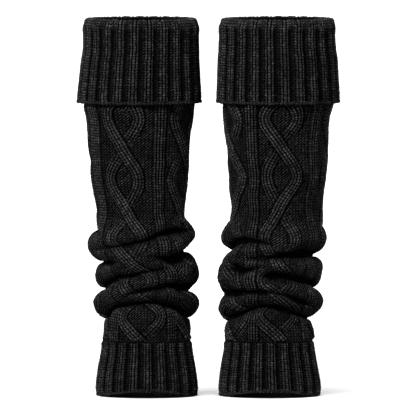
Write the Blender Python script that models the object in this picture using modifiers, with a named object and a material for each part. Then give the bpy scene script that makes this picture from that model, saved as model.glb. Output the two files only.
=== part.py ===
"""A pair of slouched cable-knit leg warmers standing open on their ankle hems.

Each leg warmer is a hollow knitted tube of three pieces: a turned-down ribbed cuff at the top, a
body that hangs straight and then slouches into rolls, and a ribbed ankle band with a flared hem.
X runs from the left leg to the right one as seen from the front, the front faces -Y, and Z is up.
The origin is on the floor, under the middle of the pair.

The sizes in the tables are in millimetres. An azimuth is in degrees round a leg from its front,
positive towards +X, so -90 is its left side, 90 its right side and 180 its back.
"""

import math
from collections import namedtuple

import bmesh
import bpy
from mathutils import Matrix

MM = 0.001

# Driving dimensions, in millimetres.
WALL = 3.5  # the thickness of the chunky knit
SEAM_GAP = 0.3  # clearance where two pieces meet
CUFF_TOP = 395.5  # top of the turned-over edge
CUFF_HEM = 307.5  # lower edge of the turned-down layer
CUFF_SEAM = 318.5  # where the cuff's inner layer meets the body, hidden behind the outer layer
ANKLE_SEAM = 58.0  # where the body meets the ankle band
FOLD_ROUND = 15.0  # how far above and below a crease the cloth rounds into it
FOLD_ROOM = 0.6  # how much further than the wall the cuff's turned edge is rounded
HEM_LIFT = 5.8  # how far the ankle hem arches off the floor at the front
HEM_LIFT_HALF_ANGLE = 65.0  # degrees from the front at which the arch ends
RIM_LENGTH = 1.5  # the short upright stretch beside a seam, which keeps the seam's rim level
FLOOR_CUT = 3.0  # how far the ankle band is made too long before it is cut flat at the floor
DEPTH_RATIO = 0.96  # front-to-back size of a section over its width
CUTTER_SIZE = (600.0, 400.0, 50.0)  # the slab that trims the hems at the floor

SEGMENTS = 20  # facets round a leg
STRAIGHT_ROWS = 3  # rings on the straight part of a body
SLOUCH_ROWS = 36  # rings on the rolls
LOWER_ROWS = 1  # rings between the rolls and the ankle band
ANKLE_ROWS = 4
ANKLE_CROWDING = 1.3  # over 1, the ankle band's rings crowd towards the hem
CUFF_ROWS = 3  # rings on each layer of a cuff
FOLD_ROWS = 4  # facets over the cuff's turned edge
SLOUCH_TOP = 190.0
SLOUCH_FOOT = 76.0
PROFILE_STEPS = 400  # fine steps that measure the length of cloth down a side

# The lower edge of the rolls arches up at the front: the sections near it are lifted with it.
ARCH_BASE = 80.5
ARCH_MIDDLE = 92.0
ARCH_REACH = 40.0

KNIT_CHARCOAL = (0.013, 0.013, 0.014, 1.0)
KNIT_ROUGHNESS = 0.95

Section = namedtuple("Section", "height left right")
Station = namedtuple("Station", "azimuth height depth gap")

# The outline of each body and ankle band over its rolls: where its left and right sides are.
BODY_SECTIONS = {
    "left": [
        Section(324.0, -131.6, -12.8),
        Section(304.5, -131.2, -14.1),
        Section(289.0, -127.5, -15.8),
        Section(262.5, -125.9, -18.3),
        Section(247.0, -124.9, -19.0),
        Section(231.0, -123.3, -20.9),
        Section(210.0, -119.6, -21.8),
        Section(196.0, -117.0, -23.3),
        Section(187.0, -118.5, -21.5),
        Section(172.0, -125.0, -13.7),
        Section(158.0, -126.6, -13.2),
        Section(141.0, -123.0, -11.5),
        Section(127.5, -119.1, -9.6),
        Section(112.0, -120.2, -9.6),
        Section(98.5, -121.9, -9.6),
        Section(87.0, -118.0, -12.0),
        Section(77.0, -112.2, -17.0),
        Section(69.0, -111.0, -17.8),
        Section(60.0, -112.5, -17.3),
        Section(50.0, -112.3, -17.0),
        Section(29.5, -116.0, -13.5),
        Section(9.5, -118.3, -11.1),
        Section(3.5, -117.4, -11.9),
        Section(0.0, -115.5, -13.8),
        Section(-4.0, -112.0, -17.0),
    ],
    "right": [
        Section(324.0, 13.0, 131.4),
        Section(304.5, 14.0, 130.8),
        Section(289.0, 15.8, 127.6),
        Section(262.5, 18.0, 124.3),
        Section(247.0, 19.0, 124.8),
        Section(231.0, 21.6, 124.5),
        Section(210.0, 21.3, 119.8),
        Section(196.0, 22.8, 118.8),
        Section(185.0, 20.5, 120.5),
        Section(168.5, 13.1, 125.1),
        Section(147.0, 12.0, 122.4),
        Section(128.0, 8.6, 119.7),
        Section(110.0, 8.8, 120.2),
        Section(96.0, 9.0, 120.6),
        Section(87.0, 11.5, 116.5),
        Section(77.0, 15.6, 110.5),
        Section(69.0, 15.9, 109.5),
        Section(60.0, 15.6, 110.6),
        Section(50.0, 15.9, 111.0),
        Section(32.0, 12.8, 114.2),
        Section(9.5, 10.3, 117.7),
        Section(3.5, 11.1, 116.9),
        Section(0.0, 13.0, 115.0),
        Section(-4.0, 16.4, 111.6),
    ],
}

# The outline of each cuff's turned-down layer.
CUFF_SECTIONS = {
    "left": [
        Section(391.5, -130.2, -11.3),
        Section(386.0, -131.8, -9.4),
        Section(377.0, -131.6, -9.8),
        Section(362.0, -131.8, -9.5),
        Section(352.0, -133.6, -9.3),
        Section(331.0, -135.9, -8.2),
        Section(313.0, -137.7, -7.2),
        Section(307.5, -136.9, -8.0),
    ],
    "right": [
        Section(391.5, 12.5, 132.0),
        Section(386.0, 10.4, 133.2),
        Section(377.0, 10.7, 132.9),
        Section(362.0, 10.1, 134.0),
        Section(352.0, 9.4, 135.5),
        Section(331.0, 8.7, 136.7),
        Section(313.0, 8.1, 137.7),
        Section(307.5, 8.9, 136.9),
    ],
}

# The creases between the rolls. A crease is a row of stations: azimuth, height, how deep it cuts
# into the outline, and half the height of the gap at its bottom.
CREASES = {
    "left": {
        "first_roll_top": [
            Station(40, 186, 0, 0), Station(90, 187, 3, 0), Station(135, 182, 7, 0.5),
            Station(180, 176, 8, 0.5), Station(225, 174, 8, 0.8), Station(270, 175, 9, 2.0),
            Station(295, 173, 6, 0.5), Station(315, 170, 0, 0),
        ],
        "long_front": [
            Station(-78, 150, 0, 0), Station(-58, 155, 5, 0.3), Station(-28, 159, 7, 0.6),
            Station(0, 164, 8, 0.8), Station(22, 171, 10, 1.6), Station(45, 174, 11, 2.6),
            Station(62, 174, 7, 1.2), Station(82, 174, 0, 0),
        ],
        "second_roll_top": [
            Station(-8, 149, 0, 0), Station(18, 147, 6, 1.0), Station(38, 144, 12, 4.0),
            Station(62, 149, 13, 3.6), Station(90, 154.5, 12.5, 2.8), Station(135, 146, 10, 0.6),
            Station(180, 143, 10, 0.6), Station(225, 141, 11, 0.8), Station(270, 140, 12.5, 1.0),
            Station(300, 140, 11, 1.6), Station(320, 141, 6, 1.0), Station(333, 141, 0, 0),
        ],
        "middle_front": [
            Station(98, 124, 0, 0), Station(135, 121, 7, 0.3), Station(180, 117, 9, 0.6),
            Station(225, 113, 10, 0.6), Station(270, 112, 12, 1.0), Station(298, 117, 12, 3.0),
            Station(320, 125, 10, 1.6), Station(340, 128, 8, 1.0), Station(360, 132, 7, 0.8),
            Station(380, 134.5, 5, 0.5), Station(398, 137, 0, 0),
        ],
        "third_roll_top": [
            Station(-34, 101, 0, 0), Station(-20, 108, 6, 0.5), Station(-4, 112.5, 8, 0.8),
            Station(14, 115.5, 8, 1.0), Station(30, 117.5, 10, 1.6), Station(48, 115.5, 12, 3.4),
            Station(90, 112, 12, 2.0), Station(125, 105, 9, 0.6), Station(165, 100, 0, 0),
        ],
        "slouch_edge": [
            Station(-90, 80.5, 8, 0.5), Station(-70, 85, 9, 1.0), Station(-50, 94, 9, 1.0),
            Station(-30, 96.5, 8, 0.8), Station(0, 100.5, 8, 1.0), Station(25, 97.5, 9, 1.2),
            Station(52, 91.5, 10, 1.5), Station(90, 81.5, 6, 0.5), Station(135, 84, 8, 0.5),
            Station(180, 86, 8, 0.5), Station(225, 83, 8, 0.5), Station(270, 80.5, 8, 0.5),
        ],
    },
    "right": {
        "first_roll_top": [
            Station(62, 179, 0, 0), Station(90, 178.5, 4, 0.3), Station(135, 181, 7, 0.5),
            Station(180, 183, 8, 0.5), Station(225, 184, 6, 0.3), Station(270, 184.5, 3, 0),
            Station(310, 184, 0, 0),
        ],
        "upper_left": [
            Station(115, 160, 0, 0), Station(140, 158, 6, 0.3), Station(180, 155, 9, 0.5),
            Station(240, 150.5, 11, 1.2), Station(270, 149.5, 14, 3.4), Station(290, 156, 12, 2.8),
            Station(308, 162.5, 12, 2.8), Station(325, 164.5, 10, 1.8), Station(347, 163, 7, 0.8),
            Station(358, 160, 4, 0.4), Station(367, 157, 0, 0),
        ],
        "long_front": [
            Station(-36, 145, 0, 0), Station(-27, 146, 6, 0.6), Station(0, 147.5, 9, 1.0),
            Station(18, 149.5, 11, 2.0), Station(38, 150.5, 12, 3.2), Station(60, 149, 12, 2.4),
            Station(90, 148, 13, 2.2), Station(125, 143, 9, 0.5), Station(152, 140, 6, 0.3),
            Station(176, 138, 0, 0),
        ],
        "left_pocket": [
            Station(-64, 137, 0, 0), Station(-48, 135, 10, 3.0), Station(-38, 133, 10, 1.8),
            Station(-26, 134, 8, 1.0), Station(-14, 136.5, 5, 0.5), Station(0, 139, 0, 0),
        ],
        "right_pocket": [
            Station(-14, 127, 0, 0), Station(0, 128, 10, 2.0), Station(18, 127, 12, 3.0),
            Station(34, 124.5, 10, 2.4), Station(60, 119.5, 9, 2.0), Station(90, 112.5, 11, 1.0),
            Station(135, 112, 8, 0.5), Station(180, 113, 8, 0.5), Station(225, 109, 9, 0.6),
            Station(262, 106, 0, 0),
        ],
        "third_roll_top": [
            Station(-120, 104, 0, 0), Station(-90, 107.5, 13, 2.8), Station(-52, 108.5, 12, 2.5),
            Station(-34, 110.5, 10, 1.4), Station(0, 110.5, 7, 0.8), Station(16, 107.5, 7, 0.9),
            Station(45, 99, 8, 1.0), Station(60, 95, 4, 0.4), Station(75, 92, 0, 0),
        ],
        "slouch_edge": [
            Station(-90, 78, 6, 0.5), Station(-62, 83.5, 8, 1.0), Station(-38, 89, 9, 1.0),
            Station(-15, 95, 8, 1.0), Station(0, 96, 8, 1.2), Station(25, 91, 9, 1.2),
            Station(55, 85, 9, 1.0), Station(90, 80.5, 8, 0.5), Station(135, 83, 8, 0.5),
            Station(180, 85, 8, 0.5), Station(225, 83, 8, 0.5), Station(270, 78, 6, 0.5),
        ],
    },
}


def smooth_through(rows, position):
    """Follow the rows' values smoothly: rows are (position, value, ...) in rising order."""
    if position <= rows[0][0]:
        return rows[0][1:]
    if position >= rows[-1][0]:
        return rows[-1][1:]
    last = len(rows) - 1
    i = next(k for k in range(last) if rows[k + 1][0] >= position)
    before, start, end, after = rows[max(i - 1, 0)], rows[i], rows[i + 1], rows[min(i + 2, last)]
    span = end[0] - start[0]
    t = (position - start[0]) / span
    values = []
    for a, b, c, d in zip(before[1:], start[1:], end[1:], after[1:]):
        slope_in = (c - a) / (end[0] - before[0]) * span
        slope_out = (d - b) / (after[0] - start[0]) * span
        values.append(
            (2 * t**3 - 3 * t**2 + 1) * b
            + (t**3 - 2 * t**2 + t) * slope_in
            + (-2 * t**3 + 3 * t**2) * c
            + (t**3 - t**2) * slope_out
        )
    return tuple(values)


def crease_at(stations, azimuth):
    """The height, depth and gap of a crease at an azimuth, or None where it doesn't reach."""
    for turn in (-360, 0, 360):
        if stations[0].azimuth <= azimuth + turn <= stations[-1].azimuth:
            height, depth, gap = smooth_through(stations, azimuth + turn)
            return height, max(depth, 0.0), max(gap, 0.0)
    return None


def outline_at(side, azimuth, height):
    """Centre and half-width of the outline over the rolls, arched up at the front."""
    edge_height = crease_at(CREASES[side]["slouch_edge"], azimuth)[0]
    away = (height - ARCH_MIDDLE) / ARCH_REACH
    share = math.cos(away * math.pi / 2) ** 2 if abs(away) < 1 else 0.0
    lowered = height - (edge_height - ARCH_BASE) * share
    left, right = smooth_through(sorted(BODY_SECTIONS[side]), lowered)
    return (left + right) / 2, (right - left) / 2


def crease_depth(side, azimuth, height):
    """How far the creases pull the cloth in from the outline at one place."""
    deepest = 0.0
    for stations in CREASES[side].values():
        found = crease_at(stations, azimuth)
        if found is None:
            continue
        middle, depth, gap = found
        away = max(abs(height - middle) - gap, 0.0) / FOLD_ROUND
        if away < 1:
            deepest = max(deepest, depth * (1 - math.sqrt(1 - (1 - away) ** 2)))
    return deepest


def body_point(side, azimuth, height):
    """A point on the outer face of a body or ankle band."""
    centre, half_width = outline_at(side, azimuth, height)
    pulled_in = crease_depth(side, azimuth, height)
    turn = math.radians(azimuth)
    return (
        centre + (half_width - pulled_in) * math.sin(turn),
        -(half_width * DEPTH_RATIO - pulled_in) * math.cos(turn),
        height,
    )


def ring_azimuths():
    """The azimuths of the facets' corners, from the back round through the left side."""
    return [-180 + 360 * k / SEGMENTS for k in range(SEGMENTS)]


def rows_by_cloth_length(side, azimuth, top, foot, rows):
    """Points from top to foot down one side, spaced evenly along the cloth."""
    heights = [top + (foot - top) * k / PROFILE_STEPS for k in range(PROFILE_STEPS + 1)]
    points = [body_point(side, azimuth, height) for height in heights]
    lengths = [0.0]
    for a, b in zip(points, points[1:]):
        lengths.append(lengths[-1] + math.dist(a, b))
    chosen = []
    k = 0
    for row in range(rows):
        target = lengths[-1] * row / (rows - 1)
        while k < PROFILE_STEPS - 1 and lengths[k + 1] < target:
            k += 1
        share = (target - lengths[k]) / (lengths[k + 1] - lengths[k])
        height = heights[k] + (heights[k + 1] - heights[k]) * share
        chosen.append(body_point(side, azimuth, height))
    return chosen


def at_height(ring, height):
    """The same ring moved to another height."""
    return [(x, y, height) for x, y, _ in ring]


def body_rings(side):
    """The body's rings: straight, then slouched, then the short stretch above the ankle band."""
    seam_top = CUFF_SEAM - SEAM_GAP
    seam_foot = ANKLE_SEAM + SEAM_GAP / 2
    columns = []
    for azimuth in ring_azimuths():
        straight = [
            body_point(side, azimuth, seam_top + (SLOUCH_TOP - seam_top) * k / STRAIGHT_ROWS)
            for k in range(STRAIGHT_ROWS)
        ]
        slouch = rows_by_cloth_length(side, azimuth, SLOUCH_TOP, SLOUCH_FOOT, SLOUCH_ROWS)
        lower = [
            body_point(side, azimuth, SLOUCH_FOOT + (seam_foot - SLOUCH_FOOT) * k / LOWER_ROWS)
            for k in range(1, LOWER_ROWS + 1)
        ]
        columns.append(straight + slouch + lower)
    rings = [list(ring) for ring in zip(*columns)]
    upper_rim = at_height(rings[0], seam_top - RIM_LENGTH)
    lower_rim = at_height(rings[-1], seam_foot + RIM_LENGTH)
    return rings[:1] + [upper_rim] + rings[1:-1] + [lower_rim] + rings[-1:]


def hem_height(azimuth):
    """The ankle hem's height: arched up at the front, and otherwise past the floor's cut."""
    if abs(azimuth) >= HEM_LIFT_HALF_ANGLE:
        return -FLOOR_CUT
    rise = math.cos(azimuth / HEM_LIFT_HALF_ANGLE * math.pi / 2) ** 2
    return -FLOOR_CUT + (HEM_LIFT + FLOOR_CUT) * rise


def ankle_rings(side):
    """The ankle band's rings, from the seam down to the hem."""
    top = ANKLE_SEAM - SEAM_GAP / 2
    rings = []
    for row in range(ANKLE_ROWS + 1):
        share = 1 - (1 - row / ANKLE_ROWS) ** ANKLE_CROWDING
        rings.append([
            body_point(side, azimuth, top + (hem_height(azimuth) - top) * share)
            for azimuth in ring_azimuths()
        ])
    return rings[:1] + [at_height(rings[0], top - RIM_LENGTH)] + rings[1:]


def cuff_point(side, azimuth, height, inset):
    """A point on a cuff: inset in from the outline of its turned-down layer."""
    rows = sorted(CUFF_SECTIONS[side])
    left, right = smooth_through(rows, height)
    half_width = (right - left) / 2
    turn = math.radians(azimuth)
    return (
        (left + right) / 2 + (half_width - inset) * math.sin(turn),
        -(half_width * DEPTH_RATIO - inset) * math.cos(turn),
        height,
    )


def cuff_rings(side):
    """The cuff's exposed face: up the outer layer, over the edge, down inside the opening."""
    fold_radius = WALL + FOLD_ROOM
    shoulder = CUFF_TOP - fold_radius
    azimuths = ring_azimuths()
    rings = []
    for row in range(CUFF_ROWS):
        height = CUFF_HEM + (shoulder - CUFF_HEM) * row / CUFF_ROWS
        rings.append([cuff_point(side, azimuth, height, 0.0) for azimuth in azimuths])
    for row in range(FOLD_ROWS + 1):
        turn = math.pi * row / FOLD_ROWS
        inset = fold_radius * (1 - math.cos(turn))
        rise = fold_radius * math.sin(turn)
        ring = [cuff_point(side, azimuth, shoulder, inset) for azimuth in azimuths]
        rings.append([(x, y, z + rise) for x, y, z in ring])
    top_ring = rings[-1]
    foot_ring = []
    for azimuth in azimuths:
        x, y, z = body_point(side, azimuth, CUFF_SEAM)
        turn = math.radians(azimuth)
        foot_ring.append((x - WALL * math.sin(turn), y + WALL * math.cos(turn), CUFF_SEAM))
    for row in range(1, CUFF_ROWS + 1):
        share = row / CUFF_ROWS
        rings.append([
            tuple(a + (b - a) * share for a, b in zip(top, foot))
            for top, foot in zip(top_ring, foot_ring)
        ])
    return rings[:-1] + [at_height(foot_ring, CUFF_SEAM + RIM_LENGTH), foot_ring]


def knit_material(name):
    """A charcoal knit finish for one piece."""
    material = bpy.data.materials.new(name)
    material.use_nodes = True
    shader = material.node_tree.nodes["Principled BSDF"]
    shader.inputs["Base Color"].default_value = KNIT_CHARCOAL
    shader.inputs["Roughness"].default_value = KNIT_ROUGHNESS
    shader.inputs["Metallic"].default_value = 0.0
    return material


def tube(name, rings, collection):
    """Skin a stack of rings as an open tube, faces out, and thicken it inwards."""
    mesh = bpy.data.meshes.new(name)
    bm = bmesh.new()
    corners = [[bm.verts.new([c * MM for c in point]) for point in ring] for ring in rings]
    for upper, lower in zip(corners, corners[1:]):
        for k in range(SEGMENTS):
            n = (k + 1) % SEGMENTS
            bm.faces.new((upper[k], lower[k], lower[n], upper[n]))
    bm.to_mesh(mesh)
    bm.free()
    piece = bpy.data.objects.new(name, mesh)
    collection.objects.link(piece)
    mesh.materials.append(knit_material(name + "_knit"))
    wall = piece.modifiers.new("Wall", "SOLIDIFY")
    wall.thickness = WALL * MM
    wall.offset = -1
    wall.use_even_offset = False
    return piece


def floor_cutter(collection):
    """A slab below the floor that trims the ankle hems flat."""
    bpy.ops.mesh.primitive_cube_add(size=1)
    cutter = bpy.context.object
    cutter.name = "floor_cutter"
    for holder in list(cutter.users_collection):
        holder.objects.unlink(cutter)
    collection.objects.link(cutter)
    width, depth, height = (size * MM for size in CUTTER_SIZE)
    size = Matrix.Diagonal((width, depth, height, 1))
    cutter.data.transform(Matrix.Translation((0, 0, -height / 2)) @ size)
    cutter.hide_render = True
    cutter.display_type = "WIRE"
    return cutter


def build_leg(side, collection, cutter):
    """The three pieces of one leg warmer."""
    tube(f"{side}_top_cuff", cuff_rings(side)[::-1], collection)
    tube(f"{side}_body", body_rings(side), collection)
    ankle = tube(f"{side}_ankle_band", ankle_rings(side), collection)
    trim = ankle.modifiers.new("Trim at the floor", "BOOLEAN")
    trim.operation = "DIFFERENCE"
    trim.object = cutter


def main():
    """Build the pair."""
    for item in list(bpy.data.objects):
        bpy.data.objects.remove(item, do_unlink=True)
    collection = bpy.data.collections.new("leg_warmer_pair")
    cutters = bpy.data.collections.new("cutters")
    bpy.context.scene.collection.children.link(collection)
    bpy.context.scene.collection.children.link(cutters)
    cutter = floor_cutter(cutters)
    for side in ("left", "right"):
        build_leg(side, collection, cutter)


main()
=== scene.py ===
"""Looks of a pair of slouched cable-knit leg warmers, knitted stitch by stitch over their frame.

Each leg warmer is a hollow tube of chunky yarn: a ribbed cuff turned down at the top, a body with
cables and plain columns on a reverse-stockinette ground, rolls where the body slouches, and a
ribbed ankle band. X runs from the left leg to the right one, the front faces -Y, Z is up, and
the floor is at zero. Sizes in the tables are in millimetres. An azimuth is in degrees round a leg
from its front, positive towards +X.
"""

from __future__ import annotations

import logging
import math
from dataclasses import dataclass, field
from enum import Enum

import bpy
import numpy as np
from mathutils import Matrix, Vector


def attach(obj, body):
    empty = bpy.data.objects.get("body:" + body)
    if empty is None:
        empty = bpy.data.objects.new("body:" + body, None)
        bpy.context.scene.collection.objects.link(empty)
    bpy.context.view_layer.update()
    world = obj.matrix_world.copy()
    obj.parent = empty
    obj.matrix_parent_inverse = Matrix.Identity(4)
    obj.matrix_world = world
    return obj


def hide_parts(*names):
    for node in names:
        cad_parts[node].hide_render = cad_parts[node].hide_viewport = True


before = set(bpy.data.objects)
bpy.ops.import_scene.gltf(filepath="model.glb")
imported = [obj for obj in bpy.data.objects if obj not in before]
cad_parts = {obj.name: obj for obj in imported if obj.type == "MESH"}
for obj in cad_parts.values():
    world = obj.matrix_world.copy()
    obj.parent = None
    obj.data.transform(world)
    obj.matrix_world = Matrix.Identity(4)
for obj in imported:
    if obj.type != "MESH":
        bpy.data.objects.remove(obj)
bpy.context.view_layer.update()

log = logging.getLogger("leg_warmers")

MM = 0.001

# The frame's own sizes, in millimetres.
WALL = 3.5  # the thickness of the knit
CUFF_TOP = 395.5  # top of the turned-over edge
CUFF_HEM = 307.5  # lower edge of the turned-down layer
CUFF_SEAM = 318.5  # where the cuff's inner layer meets the body
SEAM_GAP = 0.3  # clearance where two pieces meet
ANKLE_SEAM = 58.0  # where the body meets the ankle band
FOLD_ROUND = 15.0  # how far above and below a crease the cloth rounds into it
FULL_CREASE = 8.0  # the depth from which a crease's painted shade is as dark as it gets
HEM_LIFT = 5.8  # how far the ankle hem arches off the floor at the front
HEM_LIFT_HALF_ANGLE = 65.0  # degrees from the front at which the arch ends
DEPTH_RATIO = 0.96  # front-to-back size of a section over its width
SLOUCH_TOP = 190.0  # where the rolls start
ARCH_BASE = 80.5  # the lower edge of the rolls at the sides
ARCH_MIDDLE = 92.0  # the middle of the stretch that arches up with that edge
ARCH_REACH = 40.0  # how far above and below it the arch reaches

# The knitting.
BODY_WALES = 84  # stitches round a body and an ankle band
CUFF_WALES = 96  # stitches round a cuff
STEPS = 4  # mesh steps across a stitch, and along it
WALE_MM = 4.0  # a stitch's width
ROW_MM = 2.73  # a stitch's height
LEAN = 0.65  # rows that a knit leg rises from its wale's middle to its edge
SPLIT_SHARPNESS = 1.5  # how narrow the dark line down a wale's middle is
ON_TOP = 0.35  # the share of a band's height from which a face belongs to the band
INNER_INSET = 4.7  # the wall's inner face, in from the outline
CUFF_INSET = 3.9  # the cuff's inner face, in from its exposed face
FOLD = WALL + 0.6  # the radius of the cuff's turned edge
FOLD_ROWS = math.pi * FOLD / ROW_MM  # rows that go over the turned edge
PLACE_SCALE = 0.01  # units of the UV map to a stitch
PLACES = "Stitches"  # the UV map's name


class Side(Enum):
    """Which leg warmer of the pair, as seen from the front."""

    LEFT = "left"
    RIGHT = "right"


BODY_SECTIONS = {
    Side.LEFT: [
        (324.0, -131.6, -12.8), (304.5, -131.2, -14.1), (289.0, -127.5, -15.8),
        (262.5, -125.9, -18.3), (247.0, -124.9, -19.0), (231.0, -123.3, -20.9),
        (210.0, -119.6, -21.8), (196.0, -117.0, -23.3), (187.0, -118.5, -21.5),
        (172.0, -125.0, -13.7), (158.0, -126.6, -13.2), (141.0, -123.0, -11.5),
        (127.5, -119.1, -9.6), (112.0, -120.2, -9.6), (98.5, -121.9, -9.6),
        (87.0, -118.0, -12.0), (77.0, -112.2, -17.0), (69.0, -111.0, -17.8),
        (60.0, -112.5, -17.3), (50.0, -112.3, -17.0), (29.5, -116.0, -13.5),
        (9.5, -118.3, -11.1), (3.5, -117.4, -11.9), (0.0, -115.5, -13.8),
        (-4.0, -112.0, -17.0),
    ],
    Side.RIGHT: [
        (324.0, 13.0, 131.4), (304.5, 14.0, 130.8), (289.0, 15.8, 127.6),
        (262.5, 18.0, 124.3), (247.0, 19.0, 124.8), (231.0, 21.6, 124.5),
        (210.0, 21.3, 119.8), (196.0, 22.8, 118.8), (185.0, 20.5, 120.5),
        (168.5, 13.1, 125.1), (147.0, 12.0, 122.4), (128.0, 8.6, 119.7),
        (110.0, 8.8, 120.2), (96.0, 9.0, 120.6), (87.0, 11.5, 116.5),
        (77.0, 15.6, 110.5), (69.0, 15.9, 109.5), (60.0, 15.6, 110.6),
        (50.0, 15.9, 111.0), (32.0, 12.8, 114.2), (9.5, 10.3, 117.7),
        (3.5, 11.1, 116.9), (0.0, 13.0, 115.0), (-4.0, 16.4, 111.6),
    ],
}
"""A body's outline over its rolls, a row a section: height, left side's x, right side's x."""

CUFF_SECTIONS = {
    Side.LEFT: [
        (391.5, -130.2, -11.3), (386.0, -131.8, -9.4), (377.0, -131.6, -9.8),
        (362.0, -131.8, -9.5), (352.0, -133.6, -9.3), (331.0, -135.9, -8.2),
        (313.0, -137.7, -7.2), (307.5, -136.9, -8.0),
    ],
    Side.RIGHT: [
        (391.5, 12.5, 132.0), (386.0, 10.4, 133.2), (377.0, 10.7, 132.9),
        (362.0, 10.1, 134.0), (352.0, 9.4, 135.5), (331.0, 8.7, 136.7),
        (313.0, 8.1, 137.7), (307.5, 8.9, 136.9),
    ],
}
"""A turned-down cuff's outline, a row a section: height, left side's x, right side's x."""

CREASES = {
    Side.LEFT: {
        "first_roll_top": [
            (40, 186, 0, 0), (90, 187, 3, 0), (135, 182, 7, 0.5), (180, 176, 8, 0.5),
            (225, 174, 8, 0.8), (270, 175, 9, 2.0), (295, 173, 6, 0.5), (315, 170, 0, 0),
        ],
        "long_front": [
            (-78, 150, 0, 0), (-58, 155, 5, 0.3), (-28, 159, 7, 0.6), (0, 164, 8, 0.8),
            (22, 171, 10, 1.6), (45, 174, 11, 2.6), (62, 174, 7, 1.2), (82, 174, 0, 0),
        ],
        "second_roll_top": [
            (-8, 149, 0, 0), (18, 147, 6, 1.0), (38, 144, 12, 4.0), (62, 149, 13, 3.6),
            (90, 154.5, 12.5, 2.8), (135, 146, 10, 0.6), (180, 143, 10, 0.6),
            (225, 141, 11, 0.8), (270, 140, 12.5, 1.0), (300, 140, 11, 1.6),
            (320, 141, 6, 1.0), (333, 141, 0, 0),
        ],
        "middle_front": [
            (98, 124, 0, 0), (135, 121, 7, 0.3), (180, 117, 9, 0.6), (225, 113, 10, 0.6),
            (270, 112, 12, 1.0), (298, 117, 12, 3.0), (320, 125, 10, 1.6),
            (340, 128, 8, 1.0), (360, 132, 7, 0.8), (380, 134.5, 5, 0.5), (398, 137, 0, 0),
        ],
        "third_roll_top": [
            (-34, 101, 0, 0), (-20, 108, 6, 0.5), (-4, 112.5, 8, 0.8), (14, 115.5, 8, 1.0),
            (30, 117.5, 10, 1.6), (48, 115.5, 12, 3.4), (90, 112, 12, 2.0),
            (125, 105, 9, 0.6), (165, 100, 0, 0),
        ],
        "slouch_edge": [
            (-90, 80.5, 8, 0.5), (-70, 85, 9, 1.0), (-50, 94, 9, 1.0), (-30, 96.5, 8, 0.8),
            (0, 100.5, 8, 1.0), (25, 97.5, 9, 1.2), (52, 91.5, 10, 1.5), (90, 81.5, 6, 0.5),
            (135, 84, 8, 0.5), (180, 86, 8, 0.5), (225, 83, 8, 0.5), (270, 80.5, 8, 0.5),
        ],
    },
    Side.RIGHT: {
        "first_roll_top": [
            (62, 179, 0, 0), (90, 178.5, 4, 0.3), (135, 181, 7, 0.5), (180, 183, 8, 0.5),
            (225, 184, 6, 0.3), (270, 184.5, 3, 0), (310, 184, 0, 0),
        ],
        "upper_left": [
            (115, 160, 0, 0), (140, 158, 6, 0.3), (180, 155, 9, 0.5), (240, 150.5, 11, 1.2),
            (270, 149.5, 14, 3.4), (290, 156, 12, 2.8), (308, 162.5, 12, 2.8),
            (325, 164.5, 10, 1.8), (347, 163, 7, 0.8), (358, 160, 4, 0.4), (367, 157, 0, 0),
        ],
        "long_front": [
            (-36, 145, 0, 0), (-27, 146, 6, 0.6), (0, 147.5, 9, 1.0), (18, 149.5, 11, 2.0),
            (38, 150.5, 12, 3.2), (60, 149, 12, 2.4), (90, 148, 13, 2.2), (125, 143, 9, 0.5),
            (152, 140, 6, 0.3), (176, 138, 0, 0),
        ],
        "left_pocket": [
            (-64, 137, 0, 0), (-48, 135, 10, 3.0), (-38, 133, 10, 1.8), (-26, 134, 8, 1.0),
            (-14, 136.5, 5, 0.5), (0, 139, 0, 0),
        ],
        "right_pocket": [
            (-14, 127, 0, 0), (0, 128, 10, 2.0), (18, 127, 12, 3.0), (34, 124.5, 10, 2.4),
            (60, 119.5, 9, 2.0), (90, 112.5, 11, 1.0), (135, 112, 8, 0.5), (180, 113, 8, 0.5),
            (225, 109, 9, 0.6), (262, 106, 0, 0),
        ],
        "third_roll_top": [
            (-120, 104, 0, 0), (-90, 107.5, 13, 2.8), (-52, 108.5, 12, 2.5),
            (-34, 110.5, 10, 1.4), (0, 110.5, 7, 0.8), (16, 107.5, 7, 0.9), (45, 99, 8, 1.0),
            (60, 95, 4, 0.4), (75, 92, 0, 0),
        ],
        "slouch_edge": [
            (-90, 78, 6, 0.5), (-62, 83.5, 8, 1.0), (-38, 89, 9, 1.0), (-15, 95, 8, 1.0),
            (0, 96, 8, 1.2), (25, 91, 9, 1.2), (55, 85, 9, 1.0), (90, 80.5, 8, 0.5),
            (135, 83, 8, 0.5), (180, 85, 8, 0.5), (225, 83, 8, 0.5), (270, 78, 6, 0.5),
        ],
    },
}
"""The creases between the rolls, a row a station: azimuth, height, depth, half of the gap."""


class SmoothRows:
    """Values that pass smoothly through a short table's rows."""

    def __init__(self, rows: list[tuple[float, ...]]) -> None:
        """Keep the rows, in rising order of their first column."""
        table = np.array(sorted(rows), dtype=float)
        self.at = table[:, 0]
        self.values = table[:, 1:]

    def __call__(self, where: np.ndarray) -> np.ndarray:
        """Read the table.

        Args:
            where: positions along the table's first column, in any shape.

        Returns:
            The other columns' values there, in a last axis of their own.
        """
        q = np.clip(np.asarray(where, dtype=float), self.at[0], self.at[-1])
        last = len(self.at) - 1
        i = np.clip(np.searchsorted(self.at, q, side="left") - 1, 0, last - 1)
        before, after = np.maximum(i - 1, 0), np.minimum(i + 2, last)
        span = self.at[i + 1] - self.at[i]
        t = ((q - self.at[i]) / span)[..., None]
        a, b, c, d = (self.values[k] for k in (before, i, i + 1, after))
        slope_in = (c - a) * (span / (self.at[i + 1] - self.at[before]))[..., None]
        slope_out = (d - b) * (span / (self.at[after] - self.at[i]))[..., None]
        return (
            (2 * t**3 - 3 * t**2 + 1) * b
            + (t**3 - 2 * t**2 + t) * slope_in
            + (-2 * t**3 + 3 * t**2) * c
            + (t**3 - t**2) * slope_out
        )


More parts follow.
